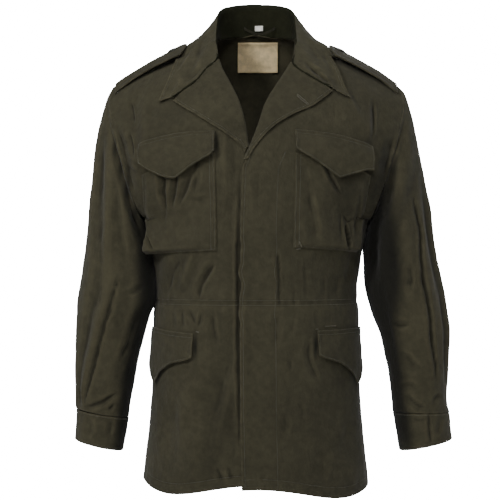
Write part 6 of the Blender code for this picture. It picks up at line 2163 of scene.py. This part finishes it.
class JACKET_OT_buttons(JacketOperator, bpy.types.Operator):
    """Strap and cuff buttons with their thread"""

    bl_idname = "jacket.buttons"
    bl_label = "Buttons"

    def execute(self, context):
        for side, rows in ((1, LEFT_CUFF_ROWS), (-1, RIGHT_CUFF_ROWS)):
            name = SIDE_NAMES[side]
            share = (STRAP_END_X - STRAP_BUTTON_X) / (STRAP_END_X - STRAP_TIP_X[side])
            lift = float(np.interp(share, np.linspace(0, 1, len(STRAP_LIFTS)), STRAP_LIFTS))
            place = (np.array([STRAP_BUTTON_X]), np.array([STRAP_BUTTON_Y]))
            points, ways = on_roof(side, *place, np.array([lift - STRAP_BUTTON_SUNK]))
            button_objects(f"strap_button_{name}", points[0], ways[0], 0.4)
            row = smooth_rows(np.array(rows, float), np.array([1.0]))
            ring = arm_ring(row, np.array([CUFF_START + CUFF_BUTTON_TURN, 0.0, 180.0]), side)[0]
            out = level_way(ring[1:].mean(0), ring[0])
            button_objects(f"cuff_button_{name}", ring[0] + out * (CUFF_CLOTH + CUFF_BUTTON_LIFT), out, 0.9)
        return {"FINISHED"}


class JACKET_OT_neck_trim(JacketOperator, bpy.types.Operator):
    """Hanger loop, bare neck label and bare size tag"""

    bl_idname = "jacket.neck_trim"
    bl_label = "Neck Trim"

    def execute(self, context):
        sewn_piece("hanger_loop", loop_grid(), None, LABEL_CLOTH, material=cloth_material("tape"),
                   kind="tape", held="hung", rests_on=["collar"], rounded=0.3)
        sewn_piece("neck_label", label_grid(), CUTS["label"], LABEL_CLOTH, material=cloth_material("label"),
                   kind="label", rests_on=["back"], rounded=0.3)
        sewn_piece("size_tag", tag_grid(), CUTS["tag"], LABEL_CLOTH, material=cloth_material("tag"),
                   kind="tag", rests_on=["collar"], rounded=0.3)
        return {"FINISHED"}


class JACKET_OT_stitching(JacketOperator, bpy.types.Operator):
    """Rows of stitches along the seams and edges"""

    bl_idname = "jacket.stitching"
    bl_label = "Stitching"

    def execute(self, context):
        pitch = context.scene.field_jacket.stitch_pitch / MM
        for title, rows in STITCH_ROWS.items():
            stitched(title, [grid_line(*row) for row in rows], pitch)
        stitched("waist_stitches", waist_lines(), pitch)
        return {"FINISHED"}


class JACKET_OT_tacks(JacketOperator, bpy.types.Operator):
    """The lapel's worked buttonhole and the bar tacks of the pockets"""

    bl_idname = "jacket.tacks"
    bl_label = "Buttonhole and Tacks"

    def execute(self, context):
        lines = buttonhole_lines(*LAPEL_BUTTONHOLE)
        lines += [satin_line(*seen_line(piece, *ends), TACK_WIDE) for piece, *ends in BAR_TACKS]
        centres, ways, ups = (np.concatenate([line[k] for line in lines]) for k in range(3))
        twist = dashes(centres + ups * SATIN_RISE, ways, ups, SATIN_WIDE, SATIN_HIGH)
        made = mesh_object("satin_stitches", *twist, thread_material("Buttonhole twist", 1.9))
        return {"FINISHED"}


class JACKET_OT_stage(JacketOperator, bpy.types.Operator):
    """Floor, lights and camera"""

    bl_idname = "jacket.stage"
    bl_label = "Stage"

    def execute(self, context):
        backdrop()
        studio_world()
        for name, (place, size, watts, colour) in LIGHTS.items():
            softbox(name, place, size, watts, colour)
        camera()
        return {"FINISHED"}


class JACKET_PT_sidebar(bpy.types.Panel):
    """Lists the jacket's pieces, sizes and colours"""

    bl_label = "Field Jacket"
    bl_idname = "JACKET_PT_sidebar"
    bl_space_type = "VIEW_3D"
    bl_region_type = "UI"
    bl_category = "Jacket"

    def draw(self, context):
        settings = context.scene.field_jacket
        for name in settings.bl_rna.properties.keys():
            if name not in ("rna_type", "name"):
                self.layout.prop(settings, name)
        for operator in OPERATORS:
            self.layout.operator(operator.bl_idname)


OPERATORS = (JACKET_OT_fronts, JACKET_OT_back, JACKET_OT_sleeves, JACKET_OT_cuffs, JACKET_OT_lapels,
             JACKET_OT_collar, JACKET_OT_chest_pockets, JACKET_OT_hip_flaps, JACKET_OT_straps,
             JACKET_OT_buttons, JACKET_OT_neck_trim, JACKET_OT_stitching, JACKET_OT_tacks,
             JACKET_OT_stage)


def register():
    for made in (JacketSettings, *OPERATORS, JACKET_PT_sidebar):
        bpy.utils.register_class(made)
    bpy.types.Scene.field_jacket = bpy.props.PointerProperty(type=JacketSettings)


def unregister():
    del bpy.types.Scene.field_jacket
    for made in (JACKET_PT_sidebar, *reversed(OPERATORS), JacketSettings):
        bpy.utils.unregister_class(made)


def main():
    """Registers the classes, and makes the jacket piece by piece."""
    register()
    for operator in OPERATORS:
        group, name = operator.bl_idname.split(".")
        getattr(getattr(bpy.ops, group), name)()


if __name__ == "__main__":
    main()
